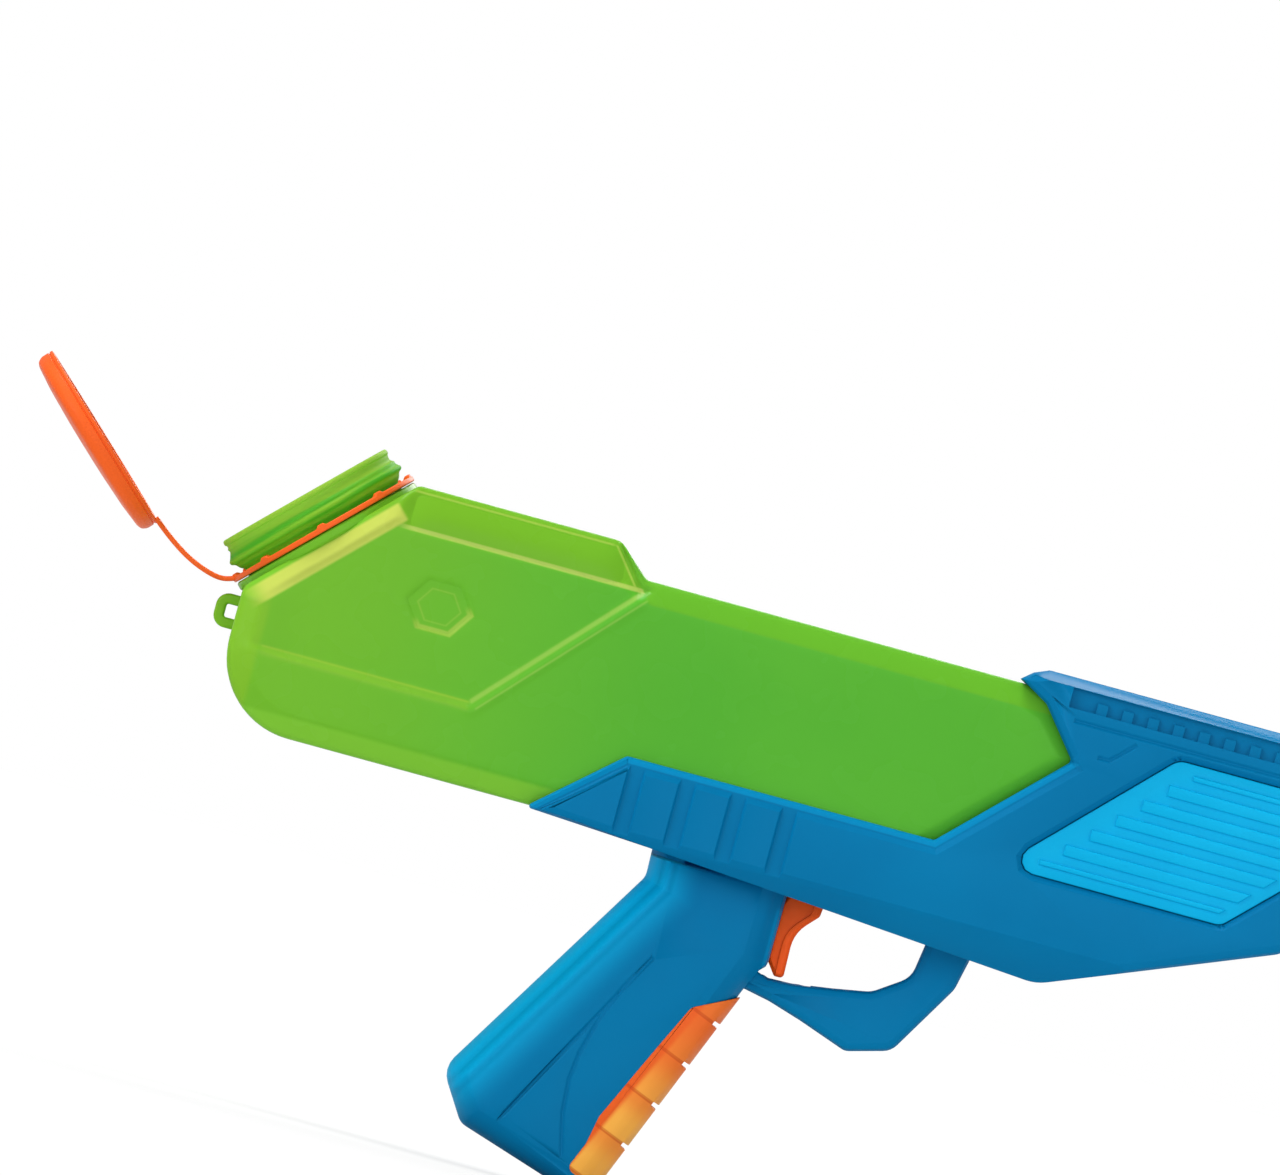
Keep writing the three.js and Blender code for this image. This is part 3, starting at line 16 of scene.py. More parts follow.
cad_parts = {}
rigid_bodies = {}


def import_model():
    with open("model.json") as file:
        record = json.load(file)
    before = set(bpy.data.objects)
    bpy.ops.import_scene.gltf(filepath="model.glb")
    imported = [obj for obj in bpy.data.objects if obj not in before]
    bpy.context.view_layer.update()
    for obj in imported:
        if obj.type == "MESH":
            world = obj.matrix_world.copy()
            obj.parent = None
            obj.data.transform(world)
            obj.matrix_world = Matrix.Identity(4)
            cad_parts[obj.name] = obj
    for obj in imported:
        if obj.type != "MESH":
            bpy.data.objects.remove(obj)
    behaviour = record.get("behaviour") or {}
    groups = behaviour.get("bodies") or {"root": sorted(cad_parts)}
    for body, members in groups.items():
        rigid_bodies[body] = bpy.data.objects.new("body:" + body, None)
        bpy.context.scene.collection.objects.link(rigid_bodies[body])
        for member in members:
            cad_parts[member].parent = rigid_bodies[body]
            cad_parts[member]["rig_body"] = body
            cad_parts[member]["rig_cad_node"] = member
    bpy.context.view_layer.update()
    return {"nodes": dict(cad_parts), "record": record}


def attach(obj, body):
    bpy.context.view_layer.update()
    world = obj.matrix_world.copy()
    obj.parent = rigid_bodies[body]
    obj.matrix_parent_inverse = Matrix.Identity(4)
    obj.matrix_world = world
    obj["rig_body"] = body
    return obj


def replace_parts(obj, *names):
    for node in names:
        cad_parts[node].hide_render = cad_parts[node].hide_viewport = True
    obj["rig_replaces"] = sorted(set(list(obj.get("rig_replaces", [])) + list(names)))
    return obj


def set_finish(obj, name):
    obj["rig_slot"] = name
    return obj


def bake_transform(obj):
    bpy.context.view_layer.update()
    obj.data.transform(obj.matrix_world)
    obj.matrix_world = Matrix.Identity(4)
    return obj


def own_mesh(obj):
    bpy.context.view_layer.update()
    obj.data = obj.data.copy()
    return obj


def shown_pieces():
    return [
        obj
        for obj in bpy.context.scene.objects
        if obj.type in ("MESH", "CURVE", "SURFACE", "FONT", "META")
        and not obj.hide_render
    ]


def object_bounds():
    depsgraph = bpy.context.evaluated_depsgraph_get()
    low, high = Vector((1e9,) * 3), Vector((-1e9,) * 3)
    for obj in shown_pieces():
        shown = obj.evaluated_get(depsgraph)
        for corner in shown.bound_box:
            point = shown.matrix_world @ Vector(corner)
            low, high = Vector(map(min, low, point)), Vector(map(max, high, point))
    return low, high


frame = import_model()
nodes = frame["nodes"]
print("solid nodes:", len(nodes))

# %% [markdown]
# ## Small helpers for surfaces
# Most mouldings here are a grid of points: rows run one way over the surface and columns run round
# it. One helper lists the four-cornered faces of such a grid, another makes the mesh, and a third
# shuts the ends of a tube. Sizes are written in millimetres, as a mould maker would, and become
# metres in the mesh.

# %% Grids and meshes
MILLIMETRE = 0.001
HALF_ROOT = math.sqrt(0.5)
POLE_WELD = 1e-7


def grid_faces(rows, columns):
    """Faces between neighbours of a grid: (i, j), (i, j+1), (i+1, j+1), (i+1, j). The last column
    joins the first."""
    i = np.arange(rows - 1)[:, None]
    j = np.arange(columns)[None, :]
    after = (j + 1) % columns
    corners = [i * columns + j, i * columns + after, (i + 1) * columns + after, (i + 1) * columns + j]
    return np.stack([c + 0 * (i + j) for c in corners], axis=-1).reshape(-1, 4)


def stack(*parts):
    """One list of points and one of faces from several (points, faces) pairs."""
    starts = np.cumsum([0] + [len(points) for points, _ in parts[:-1]])
    points = np.concatenate([points for points, _ in parts])
    faces = np.concatenate([faces + start for (_, faces), start in zip(parts, starts)])
    return points, faces


def moulding(name, points, faces, body, slot, *stands_for):
    """A smooth mesh from points in millimetres, on a body, in place of some solid nodes. Points that
    meet at a pole are welded."""
    mesh = bpy.data.meshes.new(name)
    mesh.from_pydata((np.asarray(points) * MILLIMETRE).tolist(), [], np.asarray(faces).tolist())
    work = bmesh.new()
    work.from_mesh(mesh)
    bmesh.ops.remove_doubles(work, verts=work.verts, dist=POLE_WELD)
    work.to_mesh(mesh)
    work.free()
    mesh.polygons.foreach_set("use_smooth", np.ones(len(mesh.polygons), bool))
    mesh.update()
    made = bpy.data.objects.new(name, mesh)
    bpy.context.scene.collection.objects.link(made)
    if body:
        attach(made, body)
    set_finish(made, slot)
    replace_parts(made, *stands_for)
    print(name, len(mesh.polygons), "faces")
    return made


def close_ends(made, around):
    """Shuts an open tube, one face on its first ring of points and one on its last, and turns all its
    faces outwards."""
    work = bmesh.new()
    work.from_mesh(made.data)
    work.verts.ensure_lookup_table()
    work.faces.new(work.verts[:around][::-1])
    work.faces.new(work.verts[-around:])
    bmesh.ops.recalc_face_normals(work, faces=work.faces)
    work.to_mesh(made.data)
    work.free()


# %% [markdown]
# ## Outlines with rounded corners
# The tank is drawn in side view. A corner is a point with a radius, and its arc touches both edges.
# The tank's outline has one bottom and one top at every x, so the outline can be read as two curves
# over x.

# %% Side-view outlines


def rounded(corners, arcs):
    """Points of a closed outline of (x, z, radius) corners. The arc's centre lies on the corner's
    bisector, radius / sin(half angle) away, and its ends are radius / tan(half angle) away."""
    corner = np.array(corners, float)
    here = corner[:, :2]
    radius = corner[:, 2:]
    before = np.roll(here, 1, axis=0) - here
    after = np.roll(here, -1, axis=0) - here
    before /= np.linalg.norm(before, axis=1, keepdims=True)
    after /= np.linalg.norm(after, axis=1, keepdims=True)
    half = np.arccos(np.clip((before * after).sum(1, keepdims=True), -1, 1)) / 2
    middle = before + after
    middle /= np.linalg.norm(middle, axis=1, keepdims=True)
    centre = here + middle * radius / np.sin(half)
    sweep = (np.pi / 2 - half) * np.linspace(-1, 1, arcs + 1)[None, :]
    cross = before[:, 0] * after[:, 1] - before[:, 1] * after[:, 0]
    sweep = sweep * np.where(cross < 0, 1, -1)[:, None]
    out = -middle
    turned_x = out[:, :1] * np.cos(sweep) - out[:, 1:] * np.sin(sweep)
    turned_z = out[:, :1] * np.sin(sweep) + out[:, 1:] * np.cos(sweep)
    x = centre[:, :1] + radius * turned_x
    z = centre[:, 1:] + radius * turned_z
    return np.stack([x.ravel(), z.ravel()], axis=1)


def low_and_high(outline, x):
    """The outline's lower and upper z at each x, read along its two sides."""
    rear = np.argmin(outline[:, 0] + 1e-3 * outline[:, 1])
    walked = np.roll(outline, -rear, axis=0)
    nose = np.argmax(walked[:, 0])
    low = walked[: nose + 1]
    high = walked[nose:][::-1]
    return np.interp(x, low[:, 0], low[:, 1]), np.interp(x, high[:, 0], high[:, 1])


def ease(value, start, end):
    """0 before start, 1 after end, and the smooth curve 3t^2 - 2t^3 between."""
    t = np.clip((value - start) / (end - start), 0, 1)
    return t * t * (3 - 2 * t)


def ridge(value, middle, width):
    """A bell curve: 1 at the middle, and e^-1 at a width to either side."""
    return np.exp(-(((value - middle) / width) ** 2))


# %% [markdown]
# ## The tank
# The bottle is blow moulded, so every edge is soft. In side view it is one outline. Each flank is a
# grid over that outline, and a depth is taken off its flat side at every point: long chamfers run
# along the edges, a field is sunk into the rear half with a six-sided mark in it, and a small round
# closes the flank at the outline. The two flanks are joined by a plain band. A second, simpler skin
# makes the inside of the wall, which shows through the open neck.

# %% Sizes of the tank
TANK_HALF_WIDTH = 32
TANK_WALL = 2.2
TANK_REAR = -133.5
TANK_BOTTOM, SADDLE_FLOOR = 57.2, 62
TANK_TOP, TANK_FRONT_TOP = 138, 129
NECK_X, NECK_Z = -115.75, 118.55
SHOULDER_DROP = 3 * HALF_ROOT
SHOULDER_X, SHOULDER_Z = NECK_X + SHOULDER_DROP, NECK_Z - SHOULDER_DROP
NOSE_TUCK = 3
NOSE_X = 111.1 + NOSE_TUCK * math.sqrt(2)
STEP_X, STEP_RUN = -31.3, 0.8
TANK_OUTLINE = [
    (TANK_REAR, TANK_BOTTOM, 24),
    (-24, TANK_BOTTOM, 3),
    (-15, SADDLE_FLOOR, 3),
    (NOSE_X - 48.8, SADDLE_FLOOR, 5),
    (NOSE_X, 110.8, 4),
    (NOSE_X - 13, 126, 5),
    (NOSE_X - 23, TANK_FRONT_TOP, 8),
    (-21.3, TANK_FRONT_TOP, 3),
    (STEP_X, TANK_TOP, 5),
    (SHOULDER_X + TANK_TOP - SHOULDER_Z, TANK_TOP, 3),
    (TANK_REAR, SHOULDER_Z + TANK_REAR - SHOULDER_X, 5),
]
FIELD = [(-139.7, 81.4), (-61.7, 81.4), (-21.5, 125.6), (-95.5, 125.6)]
FIELD_DEPTH = 1.7
MARK_X, MARK_Z, MARK_FLATNESS = -77.2, 105.6, 0.85
MARK_RADIUS, MARK_DEPTH = 9.2, 1.1
LEDGE_Z, LEDGE_STEP, LEAN_SLOPE = 125.4, 1.0, 0.36
CHAMFER, CHAMFER_SLOPE = 6.6, 0.5
SHOULDER_CHAMFER, SHOULDER_SLOPE = 6.8, 0.62
EDGE_ROUND = 1.6
print("tank outline corners:", len(TANK_OUTLINE))

# %% Distances on the flank


def outside(corners, x, z):
    """Distance outside a convex outline: the largest of the distances past its edges' lines."""
    corner = np.array(corners, float)
    edge = np.roll(corner, -1, axis=0) - corner
    normal = np.stack([edge[:, 1], -edge[:, 0]], axis=1)
    normal /= np.linalg.norm(normal, axis=1, keepdims=True)
    reach = (normal * corner).sum(1)
    past = x[..., None] * normal[:, 0] + z[..., None] * normal[:, 1] - reach
    return past.max(axis=-1)


def to_outline(outline, x, z):
    """Distance to the nearest edge of any outline: to each edge it is the length from the point to
    its foot on the edge, where the foot stops at the edge's ends."""
    way = np.roll(outline, -1, axis=0) - outline
    square = np.maximum((way**2).sum(1), 1e-9)
    from_x, from_z = x[..., None] - outline[:, 0], z[..., None] - outline[:, 1]
    share = np.clip((from_x * way[:, 0] + from_z * way[:, 1]) / square, 0, 1)
    return np.hypot(from_x - share * way[:, 0], from_z - share * way[:, 1]).min(axis=-1)


def hexagon(radius):
    """Six corners round the mark on the field, a little longer fore and aft."""
    angle = np.arange(6) * math.pi / 3
    x = MARK_X + radius * np.cos(angle)
    z = MARK_Z + MARK_FLATNESS * radius * np.sin(angle)
    return np.stack([x, z], axis=1)


def soft(value, round_off=0.35):
    """The positive part of a value, with the corner at zero rounded off."""
    return (value + np.sqrt(value**2 + round_off**2)) / 2


# %% Depths on the flank


def chamfer_depth(x, z, edge, behind):
    """Depth of the chamfers, which are straight ramps: 6.6 mm wide all round, 6.8 mm under the neck's
    shoulder and 12.6 mm along the rear half's top, where a ledge marks their foot."""
    shoulder = ((SHOULDER_Z - z) - (SHOULDER_X - x)) * HALF_ROOT
    lean = LEAN_SLOPE * soft(z - LEDGE_Z - 0.6) + LEDGE_STEP * ease(z, LEDGE_Z - 0.5, LEDGE_Z + 0.7)
    depth = CHAMFER_SLOPE * soft(CHAMFER - edge)
    depth = np.maximum(depth, SHOULDER_SLOPE * soft(SHOULDER_CHAMFER - shoulder))
    return np.maximum(depth, behind * lean)


def flank_depth(x, z, edge):
    """How far the flank lies inside its flat side, in millimetres, edge being the distance to the
    outline: the chamfers, the sunk field with its bead and mark, and the round at the edge."""
    step = STEP_X + STEP_RUN * (TANK_TOP - z)
    behind = 1 - ease(x, step - 0.8, step + 0.8)
    past = outside(FIELD, x, z)
    sunk = FIELD_DEPTH * (1 - ease(past, -0.3, 1.9)) * ease(x, -132, -114)
    bead = 0.4 * ridge(past, 3.0, 0.55) * (1 - ease(z, 120, LEDGE_Z)) * ease(x, -66, -58)
    mark = outside(hexagon(MARK_RADIUS), x, z)
    sunk = sunk + MARK_DEPTH * (1 - ease(mark, -1.0, 1.2)) - 0.3 * ridge(mark, -2.4, 0.5)
    over = ease(z, LEDGE_Z - 0.3, LEDGE_Z + 0.3) * behind
    sunk = np.maximum(sunk, FIELD_DEPTH * over * ease(x, -96, -90))
    rim = EDGE_ROUND - np.sqrt(EDGE_ROUND**2 - np.clip(EDGE_ROUND - edge, 0, EDGE_ROUND) ** 2)
    return chamfer_depth(x, z, edge, behind) + sunk - bead + rim


# %% The tank's skins
END_RUN = 9
TALL = 80
MIDDLE_Z = 95
MOUTH_REACH = 12


def with_ends(rings):
    """Rings of points with both ends closed: more rings shrink to the middle of the first and the
    last."""
    centre = rings.mean(axis=1, keepdims=True)
    shrink = np.array([0, 0.3, 0.6, 0.85])[:, None, None]
    rear = centre[:1] + (rings[:1] - centre[:1]) * shrink
    front = centre[-1:] + (rings[-1:] - centre[-1:]) * shrink[::-1]
    return np.concatenate([rear, rings, front])


def tank_skin(inside, spacing, rows, level):
    """A closed skin of rings along x. A ring runs across the bottom, up one flank, across the top and
    down the other flank; inside is the wall to leave outside the skin."""
    outline = rounded(TANK_OUTLINE, 14)
    nose = outline[:, 0].max()
    quarter = 1 - np.cos(np.linspace(0, math.pi / 2, 12))
    start = TANK_REAR + END_RUN * quarter
    end = nose - END_RUN * quarter[::-1]
    x = np.concatenate([start, np.arange(start[-1] + spacing, end[0] - spacing / 2, spacing), end])
    low, high = low_and_high(outline, x)
    near = np.array([0, 0.12, 0.35, 0.7, 1.1, 1.6]) / TALL
    up = np.concatenate([near, np.linspace(2.2 / TALL, 1 - 2.2 / TALL, rows), 1 - near[::-1]])
    x, z = x[:, None] + 0 * up, low[:, None] + (high - low)[:, None] * up
    edge = to_outline(outline, x, z)
    if inside:
        depth = CHAMFER_SLOPE * soft(CHAMFER - edge) + inside
        middle_x = (TANK_REAR + nose) / 2
        x = middle_x + (x - middle_x) * (1 - 2 * inside / (nose - TANK_REAR))
        z = MIDDLE_Z + (z - MIDDLE_Z) * (1 - 2 * inside / (TANK_TOP - TANK_BOTTOM))
    else:
        depth = flank_depth(x, z, edge)
    y = TANK_HALF_WIDTH - depth
    across = np.linspace(-1, 1, level + 2)[1:-1]
    bottom, top = y[:, :1] * across, y[:, -1:] * -across
    ring_y = np.concatenate([bottom, y, top, -y[:, ::-1]], axis=1)
    ring_z = np.concatenate([z[:, :1] + 0 * bottom, z, z[:, -1:] + 0 * top, z[:, ::-1]], axis=1)
    ring_x = x[:, :1] + 0 * ring_y
    points = with_ends(np.stack([ring_x, ring_y, ring_z], axis=-1))
    return points.reshape(-1, 3), grid_faces(*points.shape[:2])


def along_neck(points):
    """How far points lie from the neck's axis, and how high along it."""
    from_neck = points - np.array([NECK_X, 0, NECK_Z])
    axis = np.array([-1, 0, 1]) * HALF_ROOT
    height = from_neck @ axis
    return np.linalg.norm(from_neck - height[:, None] * axis, axis=1), height


def open_at_neck(points, faces, radius):
    """Leaves out the faces whose middle lies within the neck's mouth, and the faces without area
    where the front end is a knife edge."""
    corners = points[faces]
    crossed = np.cross(corners[:, 2] - corners[:, 0], corners[:, 3] - corners[:, 1])
    away, height = along_neck(corners.mean(axis=1))
    mouth = (away < radius) & (np.abs(height) < MOUTH_REACH)
    return points, faces[~mouth & (np.linalg.norm(crossed, axis=1) > 1e-6)]


outer = open_at_neck(*tank_skin(inside=0, spacing=0.92, rows=92, level=18), 25.5)
inner = open_at_neck(*tank_skin(inside=TANK_WALL, spacing=4, rows=20, level=8), 24.5)
print("tank skins:", len(outer[1]), len(inner[1]), "faces")

# %% [markdown]
# ## The screw neck
# The neck is turned about an axis that leans back by 45 degrees. Its profile runs up the outside,
# over the rim and down the bore. The thread is a ridge added to the radius: its height along
# the neck grows with the angle, so the same grid carries it.

# %% Turned profiles


def turned(profile, sides, thread=None):
    """Points of a profile of (radius, height) turned about +Z; thread(angle, radius, height) may
    add to the radius."""
    profile = np.array(profile, float)
    angle = np.linspace(0, 2 * math.pi, sides, endpoint=False)[None, :]
    radius, height = profile[:, :1] + 0 * angle, profile[:, 1:] + 0 * angle
    if thread:
        radius = radius + thread(angle, radius, height)
    points = np.stack([radius * np.cos(angle), radius * np.sin(angle), height], axis=-1)
    return points.reshape(-1, 3), grid_faces(len(profile), sides)


def softened(corners, radius, arcs=4):
    """An open profile whose inner corners are rounded by the curve a(1-t)^2 + 2ct(1-t) + bt^2 about
    each corner c; the ends stay sharp."""
    corner = np.array(corners, float)
    here, before, after = corner[1:-1], corner[:-2] - corner[1:-1], corner[2:] - corner[1:-1]
    lengths = np.minimum(np.linalg.norm(before, axis=1), np.linalg.norm(after, axis=1))[:, None]
    reach = np.minimum(radius, 0.45 * lengths)
    a = here + before / np.linalg.norm(before, axis=1, keepdims=True) * reach
    b = here + after / np.linalg.norm(after, axis=1, keepdims=True) * reach
    t = np.linspace(0, 1, arcs + 1)[None, :, None]
    curve = a[:, None] * (1 - t) ** 2 + 2 * here[:, None] * t * (1 - t) + b[:, None] * t**2
    return np.concatenate([corner[:1], curve.reshape(-1, 2), corner[-1:]])


def refined(profile, longest):
    """Adds points so that no step of a profile is longer than a given length."""
    step = np.linalg.norm(np.diff(profile, axis=0), axis=1)
    counts = np.maximum(1, np.ceil(step / longest)).astype(int)
    walk = np.concatenate([[0], np.cumsum(step)])
    spans = zip(walk, walk[1:], counts)
    stops = np.concatenate([np.linspace(a, b, n, endpoint=False) for a, b, n in spans])
    stops = np.append(stops, walk[-1])
    return np.stack([np.interp(stops, walk, profile[:, k]) for k in (0, 1)], axis=1)


def lean_to_neck(points):
    """Turns points about Y so that +Z runs along the neck, and moves them to its foot."""
    x, y, z = points.T
    return np.stack([HALF_ROOT * (x - z) + NECK_X, y, HALF_ROOT * (x + z) + NECK_Z], axis=1)


# %% The neck
THREAD_FOOT, THREAD_PITCH, THREAD_WIDTH, THREAD_HEIGHT = 5.9, 2.6, 0.45, 0.45
OUTSIDE_RADIUS = 24.6


def thread(angle, radius, height):
    """A low ridge whose height along the neck is 5.9 mm plus 2.6 mm a turn, for one turn, running out
    at both ends; only the outside carries it."""
    share = (angle / (2 * math.pi) + 0.4) % 1
    fade = ease(share, 0.03, 0.1) * (1 - ease(share, 0.9, 0.97))
    raised = fade * ridge(height, THREAD_FOOT + THREAD_PITCH * share, THREAD_WIDTH)
    return THREAD_HEIGHT * raised * (radius > OUTSIDE_RADIUS)


NECK_PROFILE = softened(
    [
        (22.9, -6),
        (26.5, -6),
        (29.6, -3.6),
        (29.6, -1.7),
        (29.1, -1.2),
        (25.4, -1.2),
        (25.4, 1.1),
        (26.6, 2.2),
        (27.3, 3.5),
        (28.4, 4.0),
        (28.6, 4.9),
        (27.9, 5.6),
        (26.9, 7.3),
        (26.6, 8.1),
        (26.8, 9.5),
        (27.2, 9.8),
        (27.3, 10.6),
        (26.9, 11.3),
        (23, 11.3),
        (22.9, -6),
    ],
    0.5,
)
neck_points, neck_faces = turned(refined(NECK_PROFILE, 0.4), 144, thread)
neck = lean_to_neck(neck_points), neck_faces
print("neck faces:", len(neck_faces))

# %% [markdown]
# ## The lanyard loop
# A small eye is moulded on the tank's back. It is a thick ring with rounded corners, so a flat bar
# is carried along a rounded rectangle that dips into the wall.

# %% The loop, and the whole tank


def carried(path, section, closed=True):
    """A section of (across, sideways) offsets carried along an (x, z) path: across lies in the
    path's plane, square to it, and sideways is Y."""
    path = np.asarray(path, float)
    if closed:
        way = np.roll(path, -1, axis=0) - np.roll(path, 1, axis=0)
    else:
        way = np.gradient(path, axis=0)
    way /= np.linalg.norm(way, axis=1, keepdims=True)
    across = np.stack([-way[:, 1], way[:, 0]], axis=1)
    offset, y = np.asarray(section, float).T
    x = path[:, :1] + across[:, :1] * offset
    z = path[:, 1:] + across[:, 1:] * offset
    points = np.stack([x, y[None, :] + 0 * x, z], axis=-1)
    around = len(section)
    faces = grid_faces(len(path), around)
    if closed:
        last = (len(path) - 1) * around
        seam = grid_faces(2, around)
        faces = np.concatenate([faces, np.where(seam < around, seam + last, seam - around)])
    return points.reshape(-1, 3), faces


def flat_section(thick, wide, radius):
    """A rounded rectangle of offsets, thick across and wide sideways."""
    corners = [(-thick, -wide), (thick, -wide), (thick, wide), (-thick, wide)]
    return rounded([(a / 2, b / 2, radius) for a, b in corners], 5)


LOOP_CORNERS = [(-138.5, 84.9, 2.2), (-131.6, 84.9, 1.7), (-131.6, 91.9, 1.7), (-138.5, 91.9, 2.2)]
loop = carried(rounded(LOOP_CORNERS, 10), flat_section(3.1, 5, 0.9))
tank_points, tank_faces = stack(outer, (inner[0], inner[1][:, ::-1]), neck, loop)
moulding("tank_bottle", tank_points, tank_faces, "housing", "tank_green", "tank")

# %% [markdown]
# ## Ring, cap and strap
# The cap hangs on a band of the same plastic that springs from a thin ring under the thread. Ring
# and cap are turned profiles; nine small lugs stand on the ring's upper edge. The band is one
# smooth strip that runs from the ring at one end to the cap at the other.

# %% The ring
LUG_COUNT, LUG_HEIGHT = 9, 0.8
RING_CORNERS = [(25.8, -0.9), (30, -0.9), (30, 0.7), (25.8, 0.7), (25.8, -0.9)]


def lugs(angle):
    """Nine low teeth, one of them facing -Y: 1 on a tooth, 0 between, with sloping ends."""
    part = np.abs((angle / (2 * math.pi) + 0.25) * LUG_COUNT % 1 - 0.5)
    return ease(part, 0.42, 0.46)


ring_points, ring_faces = turned(refined(softened(RING_CORNERS, 0.5, 5), 0.5), 432)
ring_angle = np.arctan2(ring_points[:, 1], ring_points[:, 0])
ring_radius = np.hypot(ring_points[:, 0], ring_points[:, 1])
raised = lugs(ring_angle) * ease(ring_radius, 27.9, 28.3) * ease(ring_points[:, 2], -0.2, 0.6)
ring_points[:, 2] += LUG_HEIGHT * raised
moulding("cap_ring_lugged", lean_to_neck(ring_points), ring_faces, "cap_ring", "orange_plastic", "cap_ring")

# %% The cap
CAP_HINGE = np.array([-154.4, 0, 96.1])
CAP_OPEN = math.radians(-92)


def hung_open(points):
    """Carries points of the closed cap to where it hangs: a turn about Y at the hinge."""
    x, y, z = (points - CAP_HINGE).T
    c, s = math.cos(CAP_OPEN), math.sin(CAP_OPEN)
    return np.stack([c * x + s * z, y, c * z - s * x], axis=1) + CAP_HINGE


CAP_CORNERS = [
    (0, 12.7),
    (27.9, 12.7),
    (27.9, 8.3),
    (29.2, 8.3),
    (29.2, 9.3),
    (28.85, 9.4),
    (28.85, 9.7),
    (29.2, 9.8),
    (29.2, 12),
    (28.4, 13.5),
    (27, 14.1),
    (20, 14.75),
    (10, 15.1),
    (0, 15.2),
]
cap_points, cap_faces = turned(refined(softened(CAP_CORNERS, 0.6, 5), 0.7), 160)
cap_points = hung_open(lean_to_neck(cap_points))
moulding("fill_cap_domed", cap_points, cap_faces, "cap", "orange_plastic", "fill_cap")

# %% The strap
STRAP_STEPS = 64
STRAP_THICK, STRAP_WIDE, STRAP_ROUND = 1.5, 9, 0.55


def smooth_path(stops, count):
    """An open curve through points: each coordinate is a natural cubic over the length walked."""
    stops = np.asarray(stops, float)
    walk = np.concatenate([[0], np.cumsum(np.linalg.norm(np.diff(stops, axis=0), axis=1))])
    n = len(stops)
    h = np.diff(walk)
    bands = np.eye(n)
    right = np.zeros((n, 2))
    k = np.arange(1, n - 1)
    bands[k, k - 1], bands[k, k], bands[k, k + 1] = h[:-1], 2 * (h[:-1] + h[1:]), h[1:]
    slope = np.diff(stops, axis=0) / h[:, None]
    right[1:-1] = 6 * np.diff(slope, axis=0)
    bend = np.linalg.solve(bands, right)
    at = np.linspace(0, walk[-1], count)
    i = np.clip(np.searchsorted(walk, at) - 1, 0, n - 2)
    a, b, span = (walk[i + 1] - at)[:, None], (at - walk[i])[:, None], h[i][:, None]
    curve = (bend[i] * a**3 + bend[i + 1] * b**3) / (6 * span)
    curve += (stops[i] / span - bend[i] * span / 6) * a
    curve += (stops[i + 1] / span - bend[i + 1] * span / 6) * b
    return curve


ring_edge = lean_to_neck(np.array([[-28.6, 0, 0.0]]))[:, [0, 2]]
hanging = [(-139.8, 97.1), (-145, 97.8), (-151, 100.2), (-157, 103.9), (-161.6, 107.4), (-163.4, 108.9)]
strap_path = smooth_path(np.concatenate([ring_edge, hanging]), STRAP_STEPS)
strap_section = flat_section(STRAP_THICK, STRAP_WIDE, STRAP_ROUND)
strap_points, strap_faces = carried(strap_path, strap_section, closed=False)
share = np.linspace(0, 1, STRAP_STEPS)
flare = 1 + 0.35 * (1 - ease(share, 0, 0.14)) + 0.5 * ease(share, 0.86, 1)
strap_points[:, 1] *= np.repeat(flare, len(strap_section))
strap = moulding("cap_strap_band", strap_points, strap_faces, None, "orange_plastic", "cap_strap")
close_ends(strap, len(strap_section))
strap_start, strap_end = strap_path[4], strap_path[-6]
strap_start[0] * MILLIMETRE
strap_start[1] * MILLIMETRE
strap_end[0] * MILLIMETRE
strap_end[1] * MILLIMETRE
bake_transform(strap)
strap_length = np.linalg.norm(np.diff(strap_path, axis=0), axis=1).sum()
print("strap length:", round(float(strap_length), 1), "mm")

# %% [markdown]
# ## Springs
# Three coil springs work inside: a large one returns the plunger, and two small ones hold the valve
# balls on their seats. A coil is a round wire carried along a helix.

# %% Coil springs
WIRE_SIDES = 10
STEPS_A_TURN = 20
RETURN_FOOT = (7.32, 0, 37)


def coil(radius, wire, turns, length):
    """A wire on a helix about +Z, from 0 to length: the height grows with the turn, and at each step
    a circle of the wire's size stands in the plane of the axis."""
    turn = np.linspace(0, 2 * math.pi * turns, int(turns * STEPS_A_TURN) + 1)[:, None]
    around = np.linspace(0, 2 * math.pi, WIRE_SIDES, endpoint=False)[None, :]
    out = radius + wire / 2 * np.cos(around)
    height = wire / 2 + (length - wire) * turn / turn[-1] + wire / 2 * np.sin(around)
    points = np.stack([out * np.cos(turn), out * np.sin(turn), height], axis=-1)
    return points.reshape(-1, 3), grid_faces(turn.size, around.size)


def spring(name, node, points, faces):
    """A coil on the housing in place of a solid node, from points in millimetres, shut at its ends."""
    made = moulding(name, points, faces, "housing", "plain_steel", node)
    close_ends(made, WIRE_SIDES)
    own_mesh(made)


points, faces = coil(4.2, 0.9, 4.5, 12.66)
points = points[:, [2, 0, 1]] + np.array(RETURN_FOOT)
spring("return_coil", "return_spring", points, faces)
for valve, length, foot, fixed, keep in (
    ("inlet", 3.43, (9.5, 0, 46.61), (9.5, 0, 46.61), 0.63),
    ("outlet", 3.23, (17.5, 0, 53.66), (17.5, 0, 56.89), 0.61),
):
    points, faces = coil(1.6, 0.5, 2.5, length)
    points = points + np.array(foot)
    spring(f"{valve}_coil", f"{valve}_spring", points, faces)

# %% [markdown]
# ## Hard mouldings
# The housing, panels, finger insert, trigger and muzzle already have the right solid shape. Real
# mouldings have no sharp edge, so each gets a merged copy whose edges are rounded by a few tenths of
# a millimetre. That small round catches the light. On all but the housing, flat triangles first
# become whole faces.

# %% Small moves of the points
INSERT_X, INSERT_Z = 24, 12.8
INSERT_COS, INSERT_SIN = 0.9063, 0.4226


